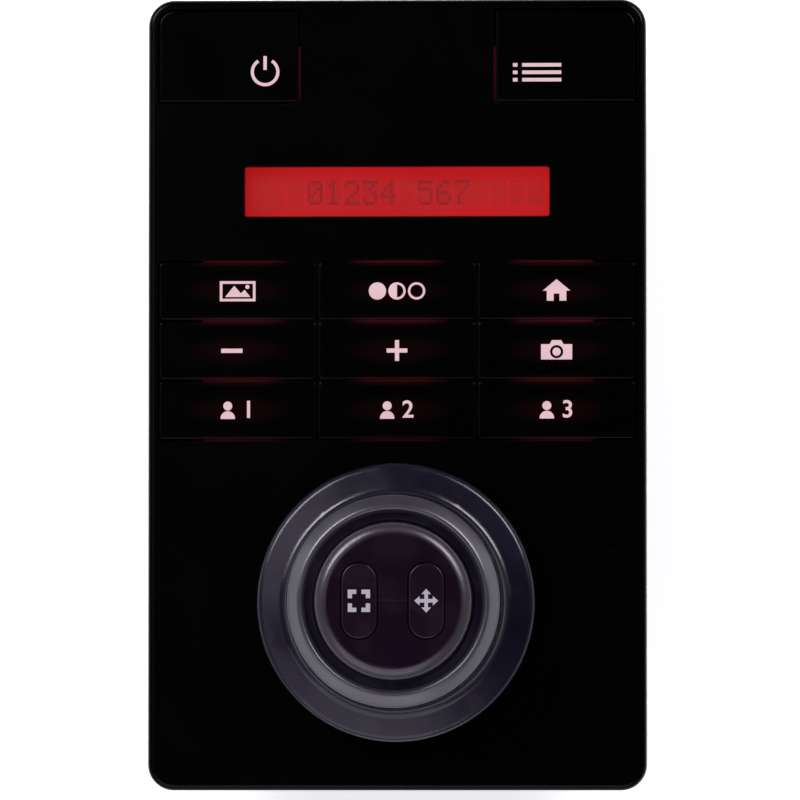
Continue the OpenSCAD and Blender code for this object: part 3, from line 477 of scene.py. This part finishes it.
dress(silicone, "keypad_mat", "lcd_backlight")
dress(wire_red, "puck_cable")
dress(boot_rubber, "stick_boot")
print("metals:", [material.name for material in (brass, zinc, milled, ground, gold)])

# %% [markdown]
# ## The puck
#
# The puck is a charcoal moulding with a violet cast. Its flared skirt is satin, the ridge ring on top
# is a paler graphite and catches light all round, and the cap with its two buttons is soft to the touch
# and darker.

# %% The puck
skirt = finish("puck_skirt_charcoal", ((0.0, 0.0, 0.001), (0.013, 0.009, 0.030)), (0.22, 0.31),
               (2400, 0.000006), ((0.03, 0.027, 0.04), 0.0005), specular=0.6, smudge=120)
ridge = finish("puck_ridge_graphite", ((0.026, 0.024, 0.033), (0.035, 0.032, 0.044)), (0.28, 0.35),
               (2600, 0.000006), ((0.09, 0.084, 0.104), 0.0004), specular=0.9, smudge=120)
cap = finish("puck_cap_soft_touch", ((0.0042, 0.0002, 0.0048), (0.0064, 0.0006, 0.0072)), (0.21, 0.26),
             (2800, 0.000005), specular=0.62, smudge=140)
button = finish("puck_button_soft_touch", ((0.0052, 0.0006, 0.0058), (0.0076, 0.0014, 0.0084)),
                (0.24, 0.30), (2800, 0.000005), ((0.018, 0.012, 0.020), 0.0006), smudge=140)
dress(skirt, "puck_body")
dress(ridge, "puck_ring")
dress(cap, "puck_cap")
dress(button, "frame_button", "move_button")
print("puck finishes:", [material.name for material in (skirt, ridge, cap, button)])

# %% [markdown]
# Thumbs polish the cap's rounded shoulder and give it a clear coat; its paler colour is painted sheen,
# standing in for the light the shoulder catches. A band like this could be painted on a vertex colour,
# but the band is a circle, so its distance from the stem's axis is enough.

# %% Polished shoulder of the cap with a painted sheen
SHOULDER = 1.4 * MM
SHOULDER_HALF = 1.2 * MM
CAP_R = (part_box("puck_cap")[1].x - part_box("puck_cap")[0].x) / 2


def axis_distance(tree):
    axes = axes_of(tree, place_of(tree))
    along = math_node(tree, "SUBTRACT", axes["Y"], PUCK_Y)
    across = math_node(tree, "MULTIPLY", axes["X"], axes["X"])
    return math_node(tree, "SQRT", math_node(tree, "MULTIPLY_ADD", along, along, across))


def polish_and_painted_sheen_band(material, radius, half_width, colour):
    tree = material.node_tree
    bsdf = tree.nodes["Principled BSDF"]
    offset = math_node(tree, "ABSOLUTE", math_node(tree, "SUBTRACT", axis_distance(tree), radius))
    band = smooth_step(tree, offset, half_width, 0.0)
    under = bsdf.inputs["Base Color"].links[0].from_socket
    rough = bsdf.inputs["Roughness"].links[0].from_socket
    # The paler base colour on the band is painted sheen; the coat and the roughness are the polish.
    set_inputs(tree, bsdf, {
        "Base Color": mix_colour(tree, band, under, colour),
        "Roughness": math_node(tree, "MULTIPLY_ADD", band, 0.07, rough),
        "Coat Weight": math_node(tree, "MULTIPLY", band, 0.45),
        "Coat Roughness": 0.33,
    })


polish_and_painted_sheen_band(cap, CAP_R - SHOULDER, SHOULDER_HALF, (0.036, 0.029, 0.042))
print("cap radius:", round(CAP_R / MM, 2), "mm")

# %% [markdown]
# ## Key caps with a faint painted halo
#
# Close to each legend and along the lit gaps the cap gets a faint dark red glow, painted in its
# emission, that stands in for light spilling past them. The halo could be a second piece, but a mask on
# the cap's own material costs nothing: it folds the field of keys into one cell by wrapping X and Y,
# and falls off from the cell's middle and from its edge.

# %% Key caps with a faint halo
key_low, key_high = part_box("plus_key")
camera_low, camera_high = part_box("camera_key")
COLUMN = (camera_low.x + camera_high.x) / 2
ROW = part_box("colour_key")[1].y - key_high.y
MIDDLE_Y = (key_low.y + key_high.y) / 2
LAMP_EDGE, LAMP_CORE = 9.8 * MM, 3.0 * MM


def row_level(tree, y):
    return math_node(tree, "MULTIPLY_ADD", smooth_step(tree, y, -14 * MM, 18 * MM), 0.7, 0.3)


def near_lamp(tree, across):
    return smooth_step(tree, math_node(tree, "ABSOLUTE", across), LAMP_EDGE, LAMP_CORE)


def add_painted_halo(material):
    tree = material.node_tree
    axes = axes_of(tree, place_of(tree))
    across = math_node(tree, "WRAP", axes["X"], -COLUMN / 2, COLUMN / 2)
    from_row = math_node(tree, "SUBTRACT", axes["Y"], MIDDLE_Y)
    along = math_node(tree, "WRAP", from_row, ROW / 2, -ROW / 2)
    flat = math_node(tree, "MULTIPLY", across, 0.28)
    flat_square = math_node(tree, "MULTIPLY", flat, flat)
    along_square = math_node(tree, "MULTIPLY", along, along)
    spread = math_node(tree, "SQRT", math_node(tree, "ADD", flat_square, along_square))
    legend = math_node(tree, "MULTIPLY", smooth_step(tree, spread, 3.0 * MM, 1.0 * MM), 0.45)
    from_middle = math_node(tree, "ABSOLUTE", along)
    beside_gap = smooth_step(tree, from_middle, ROW / 2 - 1.1 * MM, ROW / 2 - 0.1 * MM)
    lit = math_node(tree, "MULTIPLY", beside_gap, near_lamp(tree, across))
    painted_spill = math_node(tree, "MULTIPLY", lit, row_level(tree, axes["Y"]))
    glow = math_node(tree, "MULTIPLY_ADD", painted_spill, 1.5, legend)
    # Painted glow: emission on the cap itself, not light from a lamp.
    colour = mix_colour(tree, glow, (0, 0, 0), (0.010, 0.0012, 0.002))
    set_inputs(tree, tree.nodes["Principled BSDF"], {"Emission Color": colour, "Emission Strength": 1.0})


corner_black = black_key.copy()
corner_black.name = "satin_black_corner_key"
add_painted_halo(black_key)
for name in KEYS:
    dress(corner_black if name in ("power_key", "menu_key") else black_key, name)
print("column pitch:", round(COLUMN / MM, 2), "row pitch:", round(ROW / MM, 2))

# %% [markdown]
# ## Light under the keys
#
# A red light guide lies under the caps, and the hairline gaps between the rows glow where a lamp sits
# below, close to the middle of each column. Beside the top keys only a short upright stretch glows. The
# guide's own material holds this: a mask in X and Y drives its emission.

# %% Light under the keys
FIELD_TOP = (27.5 * MM, 25.5 * MM)
LINE_X = 16.95 * MM
LINE_ENDS = (49.5 * MM, 53.0 * MM)
guide = finish("red_light_guide", ((0.16, 0.008, 0.010), (0.22, 0.012, 0.016)), (0.35, 0.5),
               (900, 0.00002))
tree = guide.node_tree
place = place_of(tree)
axes = axes_of(tree, place)
in_column = near_lamp(tree, math_node(tree, "WRAP", axes["X"], -COLUMN / 2, COLUMN / 2))
in_field = smooth_step(tree, axes["Y"], *FIELD_TOP)
in_row = math_node(tree, "MULTIPLY", in_field, row_level(tree, axes["Y"]))
off_line = math_node(tree, "SUBTRACT", math_node(tree, "ABSOLUTE", axes["X"]), LINE_X)
near_line = smooth_step(tree, math_node(tree, "ABSOLUTE", off_line), 2.2 * MM, 1.0 * MM)
upright = math_node(tree, "MULTIPLY", near_line, 0.6)
beside_key = math_node(tree, "MULTIPLY", upright, smooth_step(tree, axes["Y"], *LINE_ENDS))
lit = math_node(tree, "ADD", math_node(tree, "MULTIPLY", in_column, in_row), beside_key)
patchy = math_node(tree, "MULTIPLY_ADD", noise(tree, place, 55), 1.4, 0.2)
uneven = math_node(tree, "MULTIPLY", lit, patchy)
colour = mix_colour(tree, uneven, (0.0, 0.0, 0.0), (0.55, 0.05, 0.085))
set_inputs(tree, tree.nodes["Principled BSDF"], {"Emission Color": colour, "Emission Strength": 0.09})
dress(guide, "key_guide")
lamp_red = finish("red_lamp_lens", ((0.5, 0.03, 0.02), (0.6, 0.05, 0.04)), (0.2, 0.3))
dress(lamp_red, "key_leds")
print("materials of the key lights:", guide.name, lamp_red.name)

# %% [markdown]
# ## Display
#
# The display is a dot-matrix LCD over a red backlight. Its panel is an even red field, a little uneven
# towards the ends, as cheap backlights are. The window over it is clear plastic, flush with the face.

# %% Display panel and window
lcd, tree, bsdf = new_material("red_lit_lcd")
place = place_of(tree)
mottle = math_node(tree, "MULTIPLY_ADD", noise(tree, place, 70, 2), 0.5, 0.5)
inward = smooth_step(tree, axes_of(tree, place)["X"], -28 * MM, -14 * MM)
even = math_node(tree, "MULTIPLY", mottle, math_node(tree, "MULTIPLY_ADD", inward, 0.55, 0.45))
set_inputs(tree, bsdf, {
    "Base Color": (0.10, 0.004, 0.006, 1),
    "Roughness": 0.35,
    "Emission Color": mix_colour(tree, even, (0.34, 0.004, 0.005), (0.52, 0.007, 0.008)),
    "Emission Strength": 1.0,
})
dress(lcd, "lcd_panel")

window, tree, bsdf = new_material("clear_window")
marks = use_group(tree, marks_group, Size=60)
set_inputs(tree, bsdf, {
    "Transmission Weight": 1.0,
    "IOR": 1.45,
    "Base Color": (1.0, 0.93, 0.93, 1),
    "Roughness": math_node(tree, "MULTIPLY_ADD", marks["Smudge"], 0.03, 0.02),
})
dress(window, "display_window")
print("materials of the display:", lcd.name, window.name)

# %% [markdown]
# Each character is a block of five by seven dots. The dots could be painted in the panel's material,
# but a real LCD has them as separate raised cells, and a mesh keeps them sharp at any distance. A
# Geometry Nodes tree puts one thin plate on every point: those that are switched on draw plain digits,
# darker than the field, and the rest are the faint resting cells.

# %% Points of the display
DIGITS = {
    "0": "01110 10001 10011 10101 11001 10001 01110",
    "1": "00100 01100 00100 00100 00100 00100 01110",
    "2": "01110 10001 00001 00010 00100 01000 11111",
    "3": "11111 00010 00100 00010 00001 10001 01110",
    "4": "00010 00110 01010 10010 11111 00010 00010",
    "5": "11111 10000 11110 00001 00001 10001 01110",
    "6": "00110 01000 10000 11110 10001 10001 01110",
    "7": "11111 00001 00010 00100 01000 01000 01000",
    " ": "00000 00000 00000 00000 00000 00000 00000",
}
DOT_X, DOT_Y, CHARACTER = 0.54 * MM, 0.62 * MM, 3.2 * MM
DOT_THICK = 0.012 * MM
DOT_RISE = 0.02 * MM
DOT_FILL = 0.90
MIDDLE_DOT, MIDDLE_ROW = 2, 3
READOUT = "   01234 567    "
MIDDLE_CHARACTER = (len(READOUT) - 1) / 2
lcd_low, lcd_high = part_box("lcd_panel")
lcd_middle = (lcd_low + lcd_high) / 2


def dot_places(on):
    places = []
    z = lcd_high.z + DOT_RISE - DOT_THICK / 2
    for c, sign in enumerate(READOUT):
        for r, row in enumerate(DIGITS[sign].split()):
            for d, dot in enumerate(row):
                if (dot == "1") == on:
                    x = lcd_middle.x + (c - MIDDLE_CHARACTER) * CHARACTER + (d - MIDDLE_DOT) * DOT_X
                    places.append((x, lcd_middle.y + (MIDDLE_ROW - r) * DOT_Y, z))
    return places


print("points that are on:", len(dot_places(True)))

# %% A plate on every point
def dot_tree(material):
    tree = bpy.data.node_groups.new("display_dots", "GeometryNodeTree")
    tree.interface.new_socket("Points", in_out="INPUT", socket_type="NodeSocketGeometry")
    sizes = [tree.interface.new_socket(label, in_out="INPUT", socket_type="NodeSocketFloat")
             for label in ("Dot Width", "Dot Height")]
    tree.interface.new_socket("Dots", in_out="OUTPUT", socket_type="NodeSocketGeometry")
    given = tree.nodes.new("NodeGroupInput").outputs
    put_out = tree.nodes.new("NodeGroupOutput")
    extent = tree.nodes.new("ShaderNodeCombineXYZ")
    set_inputs(tree, extent, {"X": given["Dot Width"], "Y": given["Dot Height"], "Z": DOT_THICK})
    cell = tree.nodes.new("GeometryNodeMeshCube")
    tree.links.new(extent.outputs[0], cell.inputs["Size"])
    spread = tree.nodes.new("GeometryNodeInstanceOnPoints")
    set_inputs(tree, spread, {"Points": given["Points"], "Instance": cell.outputs["Mesh"]})
    real = tree.nodes.new("GeometryNodeRealizeInstances")
    tree.links.new(spread.outputs["Instances"], real.inputs["Geometry"])
    coat = tree.nodes.new("GeometryNodeSetMaterial")
    set_inputs(tree, coat, {"Geometry": real.outputs["Geometry"], "Material": material})
    tree.links.new(coat.outputs["Geometry"], put_out.inputs["Dots"])
    return tree, [socket.identifier for socket in sizes]


def plain_mesh(maker, name):
    bpy.context.view_layer.update()
    evaluated = maker.evaluated_get(bpy.context.evaluated_depsgraph_get())
    mesh = bpy.data.meshes.new_from_object(evaluated)
    bpy.data.objects.remove(maker)
    mesh.name = name
    return mesh


def place_piece(name, mesh, body):
    piece = linked(name, mesh)
    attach(piece, body)
    return piece


def glowing(name, body, shades, strength, scale, rough):
    material, tree, bsdf = new_material(name)
    set_inputs(tree, bsdf, {
        "Base Color": (*body, 1),
        "Roughness": rough,
        "Emission Color": mix_colour(tree, noise(tree, place_of(tree), scale), *shades),
        "Emission Strength": strength,
    })
    return material


for name, on, shades in (
    ("display_digits", True, ((0.17, 0.004, 0.006), (0.27, 0.007, 0.010))),
    ("display_cells", False, ((0.37, 0.005, 0.007), (0.50, 0.008, 0.010))),
):
    points = bpy.data.meshes.new(name)
    points.from_pydata(dot_places(on), [], [])
    maker = linked(name + "_maker", points)
    tree, sockets = dot_tree(glowing(name, (0.03, 0.002, 0.003), shades, 1.0, 130, 0.5))
    modifier = maker.modifiers.new("dots", "NODES")
    modifier.node_group = tree
    modifier[sockets[0]] = DOT_X * DOT_FILL
    modifier[sockets[1]] = DOT_Y * DOT_FILL
    place_piece(name, plain_mesh(maker, name), "housing")
    print(name, "dots:", len(points.vertices))

# %% [markdown]
# ## Legends
#
# Each key cap carries a legend that light shines through, and each puck button a white symbol whose
# glow is painted. Here it is a generic sign or a plain number. A sign is a flat shape with straight edges
# and holes. Blender's filled 2D curve makes exactly that from closed outlines, so every sign is drawn as
# outlines in millimetres, made a mesh, scaled and laid on its cap.

# %% Outlines for signs
def box_outline(x0, y0, x1, y1):
    return [(x0, y0), (x1, y0), (x1, y1), (x0, y1)]


def arc(x, y, radius, start, end, steps=28):
    turns = [math.radians(start + (end - start) * i / steps) for i in range(steps + 1)]
    return [(x + radius * math.cos(a), y + radius * math.sin(a)) for a in turns]


def disc(x, y, radius):
    return arc(x, y, radius, 0, 348, 29)


def bow(x, y, inner, outer, start, end):
    return arc(x, y, outer, start, end) + arc(x, y, inner, end, start)


def quarter_turned(outline, quarters):
    for _ in range(quarters):
        outline = [(-y, x) for x, y in outline]
    return outline


def person(x):
    shoulders = arc(x, -1.4, 1.25, 0, 180) + [(x - 1.25, -1.5), (x + 1.25, -1.5)]
    return [disc(x, 0.75, 0.78), shoulders]


MENU_LINES = (-1.6, -0.31, 0.98)
MENU_LINE = 0.62
PERSON_X = -1.7
PLUS = [(-1.8, -0.36), (-0.36, -0.36), (-0.36, -1.8), (0.36, -1.8), (0.36, -0.36), (1.8, -0.36),
        (1.8, 0.36), (0.36, 0.36), (0.36, 1.8), (-0.36, 1.8), (-0.36, 0.36), (-1.8, 0.36)]
HILLS = [(-2.2, -1.0), (2.2, -1.0), (1.2, 0.25), (0.55, -0.35), (-0.6, 0.95)]
HOUSE = [(0, 2.0), (2.4, 0.0), (1.7, 0.0), (1.7, -1.75), (0.5, -1.75), (0.5, -0.5), (-0.5, -0.5),
         (-0.5, -1.75), (-1.7, -1.75), (-1.7, 0.0), (-2.4, 0.0)]
CAMERA = [(-2.7, -1.6), (2.7, -1.6), (2.7, 1.05), (1.2, 1.05), (0.8, 1.75), (-0.8, 1.75), (-1.2, 1.05),
          (-2.7, 1.05)]
BRACKET = [(2.2, 2.2), (0.5, 2.2), (0.5, 1.35), (1.35, 1.35), (1.35, 0.5), (2.2, 0.5)]
ARROW = [(0.36, 0.36), (0.36, 1.30), (0.95, 1.30), (0.0, 2.35), (-0.95, 1.30), (-0.36, 1.30)]
SIGNS = {
    "power_key": [bow(0, 0, 1.95, 2.5, 122, 418), box_outline(-0.29, 0.35, 0.29, 2.75)],
    "menu_key": [box_outline(left, y, right, y + MENU_LINE)
                 for left, right in ((-4.2, -3.4), (-2.6, 4.2)) for y in MENU_LINES],
    "scene_key": [box_outline(-3.1, -1.75, 3.1, 1.75), box_outline(-2.65, -1.3, 2.65, 1.3), HILLS,
                  disc(1.7, 0.75, 0.36)],
    "colour_key": [disc(-3.4, 0, 1.5), disc(0, 0, 1.5), arc(0, 0, 1.1, -90, 90), disc(3.4, 0, 1.5),
                   disc(3.4, 0, 1.1)],
    "home_key": [HOUSE],
    "minus_key": [box_outline(-1.85, -0.37, 1.85, 0.37)],
    "plus_key": [PLUS],
    "camera_key": [CAMERA, disc(0, -0.25, 1.15), disc(0, -0.25, 0.72)],
    "user_key_1": person(PERSON_X),
    "user_key_2": person(PERSON_X),
    "user_key_3": person(PERSON_X),
    "frame_button": [quarter_turned(BRACKET, q) for q in range(4)],
    "move_button": [[corner for q in range(4) for corner in quarter_turned(ARROW, q)]],
}
print("signs:", len(SIGNS))

# %% Ink of the signs
INK_SCALE, INK_ROUGH = 420, 0.45
legend_ink = glowing("lit_legend", (0.06, 0.05, 0.05), ((0.70, 0.44, 0.50), (0.86, 0.58, 0.64)),
                     0.92, INK_SCALE, INK_ROUGH)
# The puck's white symbols have no lamp behind them: their emission is painted light that keeps the print
# bright.
puck_ink_painted_glow = glowing("white_symbol_painted_glow", (0.36, 0.36, 0.39), ((0.08, 0.08, 0.09), (0.11, 0.11, 0.12)),
                   0.8, INK_SCALE, INK_ROUGH)
print("inks:", legend_ink.name, puck_ink_painted_glow.name)

# %% Signs as meshes
SIGN_HALF = 0.012
DIGIT_SIZE, DIGIT_BOLD, DIGIT_X = 4.2, 0.06, 1.9


def drawn_mesh(name, outlines):
    curve = bpy.data.curves.new(name, "CURVE")
    curve.dimensions = "2D"
    curve.fill_mode = "BOTH"
    curve.extrude = SIGN_HALF
    for outline in outlines:
        spline = curve.splines.new("POLY")
        spline.points.add(len(outline) - 1)
        for point, (x, y) in zip(spline.points, outline):
            point.co = (x, y, 0, 1)
        spline.use_cyclic_u = True
    return plain_mesh(linked(name, curve), name)


def add_digit(mesh, number):
    letters = bpy.data.curves.new(mesh.name, "FONT")
    letters.body = number
    letters.size = DIGIT_SIZE
    letters.extrude = SIGN_HALF
    letters.offset = DIGIT_BOLD
    letters.align_x = "CENTER"
    letters.align_y = "CENTER"
    digit = plain_mesh(linked(mesh.name, letters), mesh.name + "_digit")
    digit.transform(Matrix.Translation((DIGIT_X, 0, 0)))
    both = bmesh.new()
    both.from_mesh(mesh)
    both.from_mesh(digit)
    bmesh.ops.remove_doubles(both, verts=both.verts, dist=0.0001)
    bmesh.ops.recalc_face_normals(both, faces=both.faces)
    both.to_mesh(mesh)
    both.free()


print("sign thickness:", 2 * SIGN_HALF, "mm")

# %% [markdown]
# The signs sit off the middles of some caps, as the photograph shows them. The puck's buttons are the
# highest point of the part, so each gets a pad that is lower by a little more than its sign stands up.
# That keeps the sign inside the part's box.

# %% Signs on the caps
PUCK_SIGN = 0.87
SUNK = 0.03 * MM
SIGN_RISE = 0.016 * MM
SHIFT = {"power_key": (6.3, -2.7), "menu_key": (-4.9, -2.9), "minus_key": (-1.0, 0)}
for name, outlines in SIGNS.items():
    low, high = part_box(name)
    middle = (low + high) / 2
    dx, dy = SHIFT.get(name, (0, 0))
    mesh = drawn_mesh(name + "_sign", outlines)
    if name.startswith("user"):
        add_digit(mesh, name[-1])
    on_puck = name.endswith("button")
    top = high.z
    if on_puck:
        mesh.transform(Matrix.Diagonal((PUCK_SIGN, PUCK_SIGN, 1, 1)))
        top = high.z - SUNK
        pad = nodes[name].data.copy()
        for vertex in pad.vertices:
            vertex.co.z = min(vertex.co.z, top)
        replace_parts(place_piece(name + "_pad", pad, name), name)
    mesh.transform(Matrix.Scale(MM, 4))
    mesh.transform(Matrix.Translation((middle.x + dx * MM, middle.y + dy * MM, top + SIGN_RISE)))
    paint(mesh, puck_ink_painted_glow if on_puck else legend_ink)
    place_piece(name + "_sign", mesh, name)
print("signs placed")

# %% [markdown]
# ## Rubber boot under the puck
#
# A soft boot keeps water out of the hole that the stem comes through. The part that is clamped under
# the face stays with the casing, and its collar rides on the stem and hangs down inside it like an
# umbrella, so that nothing tears when the puck tilts, and no light shows between them when it is
# lifted. Both are turned shapes: a profile spun round the stem's axis.

# %% Rubber boot
# Radius and height over the face, in millimetres.
BOOT_SKIRT = ((14.8, -3.5), (14.8, -2.5), (10.8, -2.5), (10.7, -0.4), (10.6, 0.5), (10.3, 1.1),
              (9.9, 1.25), (9.5, 1.0), (9.3, 0.4), (9.2, -0.8), (8.9, -0.8), (9.0, 0.5), (9.3, 1.4),
              (9.9, 1.75), (10.5, 1.5), (10.9, 0.8), (10.95, -0.2), (10.3, -3.5))
BOOT_COLLAR = ((5.3, 3.3), (5.9, 3.3), (6.2, 2.6), (6.6, 2.0), (6.85, 1.4), (6.95, 0.7), (6.8, 0.55),
               (6.55, 0.7), (6.35, 1.5), (5.8, 2.1), (5.3, 2.0))


def shade(mesh, smooth):
    for face in mesh.polygons:
        face.use_smooth = smooth


def turned_mesh(name, profile, base, material, steps=96, middle=(0, PUCK_Y)):
    build = bmesh.new()
    rings = []
    for i in range(steps):
        angle = 2 * math.pi * i / steps
        along = math.cos(angle) * MM
        across = math.sin(angle) * MM
        rings.append([
            build.verts.new((middle[0] + r * along, middle[1] + r * across, (base + rise) * MM))
            for r, rise in profile
        ])
    for i, ring in enumerate(rings):
        following = rings[(i + 1) % steps]
        for j in range(len(profile)):
            k = (j + 1) % len(profile)
            if profile[j][0] or profile[k][0]:
                build.faces.new((ring[j], following[j], following[k], ring[k]))
    bmesh.ops.remove_doubles(build, verts=build.verts, dist=0.000001)
    bmesh.ops.recalc_face_normals(build, faces=build.faces)
    mesh = bpy.data.meshes.new(name)
    build.to_mesh(mesh)
    build.free()
    shade(mesh, True)
    mesh.materials.append(material)
    return mesh


skirt_mesh = turned_mesh("boot_skirt", BOOT_SKIRT, FACE_Z / MM, boot_rubber)
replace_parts(place_piece("boot_skirt", skirt_mesh, "housing"), "stick_boot")
collar_mesh = turned_mesh("boot_collar", BOOT_COLLAR, FACE_Z / MM, boot_rubber)
place_piece("boot_collar", collar_mesh, "puck")
print("boot pieces: 2")

# %% [markdown]
# ## Ridge ring of the puck
#
# The CAD ring is a plain half round. The photograph shows a tighter crest that lies nearer the cap,
# with a straight slope outside it: the crest draws one bright line all round, and the slope is dark
# away from the light. A bump map could bend the light like this, but the outline would stay round, so
# the ring is turned anew inside the space of the CAD ring.

# %% Ridge ring of the puck
# Distance in from the outer edge and height over the ring's foot, in millimetres.
RIDGE = ((3.03, 0.0), (3.00, 0.45), (2.89, 0.85), (2.73, 1.20), (2.55, 1.45), (2.37, 1.59), (2.19, 1.64),
         (2.00, 1.62), (1.82, 1.56), (1.65, 1.47), (1.25, 1.22), (0.85, 0.97), (0.45, 0.71), (0.15, 0.50),
         (0.03, 0.38), (0.0, 0.25), (0.0, 0.0))
ring_low, ring_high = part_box("puck_ring")
outer = (ring_high.x - ring_low.x) / 2 / MM
ring_profile = [(outer - inward, rise) for inward, rise in RIDGE]
ring_mesh = turned_mesh("ridge_crest", ring_profile, ring_low.z / MM, ridge, 160)
ring = place_piece("ridge_crest", ring_mesh, "puck")
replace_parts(ring, "puck_ring")
ring_alone = bpy.data.collections.new("lit_by_low_lamps")
ring_alone.objects.link(ring)
for lamp in low_lamps:
    lamp.light_linking.receiver_collection = ring_alone
print("ring height:", round((ring_high.z - ring_low.z) / MM, 2), "mm")

# %% [markdown]
# ## Springs that give way
#
# Eight springs hold the lift carrier between two fixed plates, a wide spring centres the stem, and a
# small one turns it back. A rigid coil would cut through its neighbour when a joint moves, so each one
# is wound anew as a separate piece, not attached to any body. The centring spring crosses three joints,
# so it is made of three lengths of wire, one to a joint. A screw modifier could wind the coil, but a
# curve with a round bevel is easier to split at a chosen turn.

# %% Wire and separate pieces
WIRE = 0.35 * MM
TURN_STEPS = 24


def wound_mesh(name, middles, radii, heights, turns):
    path = bpy.data.curves.new(name + "_path", "CURVE")
    path.dimensions = "3D"
    path.bevel_depth = WIRE
    path.bevel_resolution = 2
    path.use_fill_caps = True
    count = round((turns[1] - turns[0]) * TURN_STEPS)
    for x, y in middles:
        spline = path.splines.new("POLY")
        spline.points.add(count)
        for i, point in enumerate(spline.points):
            share = i / count
            angle = 2 * math.pi * (turns[0] + (turns[1] - turns[0]) * share)
            r = radii[0] + (radii[1] - radii[0]) * share
            z = heights[0] + (heights[1] - heights[0]) * share
            point.co = (x + r * math.cos(angle), y + r * math.sin(angle), z, 1)
    mesh = plain_mesh(linked(name + "_maker", path), name)
    shade(mesh, True)
    paint(mesh, ground)
    return mesh


def blended_piece(name, mesh):
    piece = linked(name, mesh)
    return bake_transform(piece)


print("wire:", 2 * WIRE / MM, "mm thick")

# %% Springs that give way
POST = 16 * MM
LUG = 3 * MM
LIFT_RADIUS = 3.1 * MM
FOOT_RADIUS, TAPER, CONE_TURNS = 11 * MM, 5.6 * MM, 5
TWIST_RADIUS, TWIST_TURNS = 6.1 * MM, 3
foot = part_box("stick_base")[1].z + WIRE
carrier_low, carrier_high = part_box("lift_carrier")
pivot = (carrier_low.z + carrier_high.z) / 2
posts = [(x * POST, PUCK_Y + y * POST) for x in (-1, 1) for y in (-1, 1)]
for name, heights, turns in (
    ("lift_springs_lower", (foot, pivot - LUG - WIRE), 5),
    ("lift_springs_upper", (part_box("stick_top_plate")[0].z - WIRE, pivot + LUG + WIRE), 4),
):
    mesh = wound_mesh(name, posts, (LIFT_RADIUS, LIFT_RADIUS), heights, (0, turns))
    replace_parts(blended_piece(name, mesh), "lift_springs")

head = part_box("stem_clip")[0].z - WIRE
splits = (0, 2, 3.5, CONE_TURNS)
for i in range(3):
    turns = splits[i:i + 2]
    radii = [FOOT_RADIUS - TAPER * turn / CONE_TURNS for turn in turns]
    heights = [foot + (head - foot) * turn / CONE_TURNS for turn in turns]
    name = "centering_spring_" + str(i + 1)
    mesh = wound_mesh(name, [(0, PUCK_Y)], radii, heights, turns)
    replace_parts(blended_piece(name, mesh), "centering_spring")

twist_low, twist_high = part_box("twist_spring")
heights = (twist_low.z + WIRE, twist_high.z - WIRE)
mesh = wound_mesh("twist_coil", [(0, PUCK_Y)], (TWIST_RADIUS, TWIST_RADIUS), heights, (0, TWIST_TURNS))
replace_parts(blended_piece("twist_coil", mesh), "twist_spring")
print("springs: 10, in 6 pieces")

# %% [markdown]
# ## Silicone domes under the keys
#
# Each key stands on a dome of the silicone mat: a thin sloping web carries a stiff top with a contact
# pill under it, and the web buckles when the key goes down. The mat is one CAD solid on the casing, so
# a pressed key would sink into it. The sheet is cut from that solid below the domes, and each dome is
# turned anew as a separate piece under its own key, not attached to any body.

# %% Sheet of the keypad mat
mat_low, mat_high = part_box("keypad_mat")
SHEET_TOP = mat_low.z + 0.81 * MM
DOME_TOP = mat_high.z

build = bmesh.new()
build.from_mesh(nodes["keypad_mat"].data)
bmesh.ops.remove_doubles(build, verts=build.verts, dist=0.0000001)
cut = bmesh.ops.bisect_plane(build, geom=build.verts[:] + build.edges[:] + build.faces[:],
                             plane_co=(0, 0, SHEET_TOP), plane_no=(0, 0, 1), clear_outer=True)
rims = [edge for edge in cut["geom_cut"] if isinstance(edge, bmesh.types.BMEdge)]
bmesh.ops.triangle_fill(build, use_beauty=True, edges=rims)
bmesh.ops.recalc_face_normals(build, faces=build.faces)
sheet = bpy.data.meshes.new("keypad_sheet")
build.to_mesh(sheet)
build.free()
shade(sheet, False)
paint(sheet, silicone)
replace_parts(place_piece("keypad_sheet", sheet, "housing"), "keypad_mat")
print("sheet faces:", len(sheet.polygons))

# %% Silicone domes under the keys
# Radius and height over the sheet, in millimetres.
DOME = ((1.95, 0.0), (2.73, 0.0), (2.62, 0.3), (2.05, 0.92), (1.86, 1.08), (1.8, 1.45), (1.7, 1.59),
        (0.0, 1.59), (0.0, 0.55), (0.9, 0.55), (1.0, 0.62), (1.12, 0.82), (1.5, 0.82), (1.9, 0.3))
DOME_STEPS = 32
tops = [v.co for v in nodes["keypad_mat"].data.vertices if v.co.z > DOME_TOP - 0.01 * MM]
for key in KEYS:
    low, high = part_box(key)
    mine = [p for p in tops if low.x < p.x < high.x and low.y < p.y < high.y]
    x = (min(p.x for p in mine) + max(p.x for p in mine)) / 2
    y = (min(p.y for p in mine) + max(p.y for p in mine)) / 2
    mesh = turned_mesh(key + "_dome", DOME, SHEET_TOP / MM, silicone, DOME_STEPS, (x, y))
    blended_piece(key + "_dome", mesh)
print("domes:", len(KEYS))

# %% Size of what is drawn
low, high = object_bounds()
print("visual size:", [round(v / MM, 2) for v in high - low])
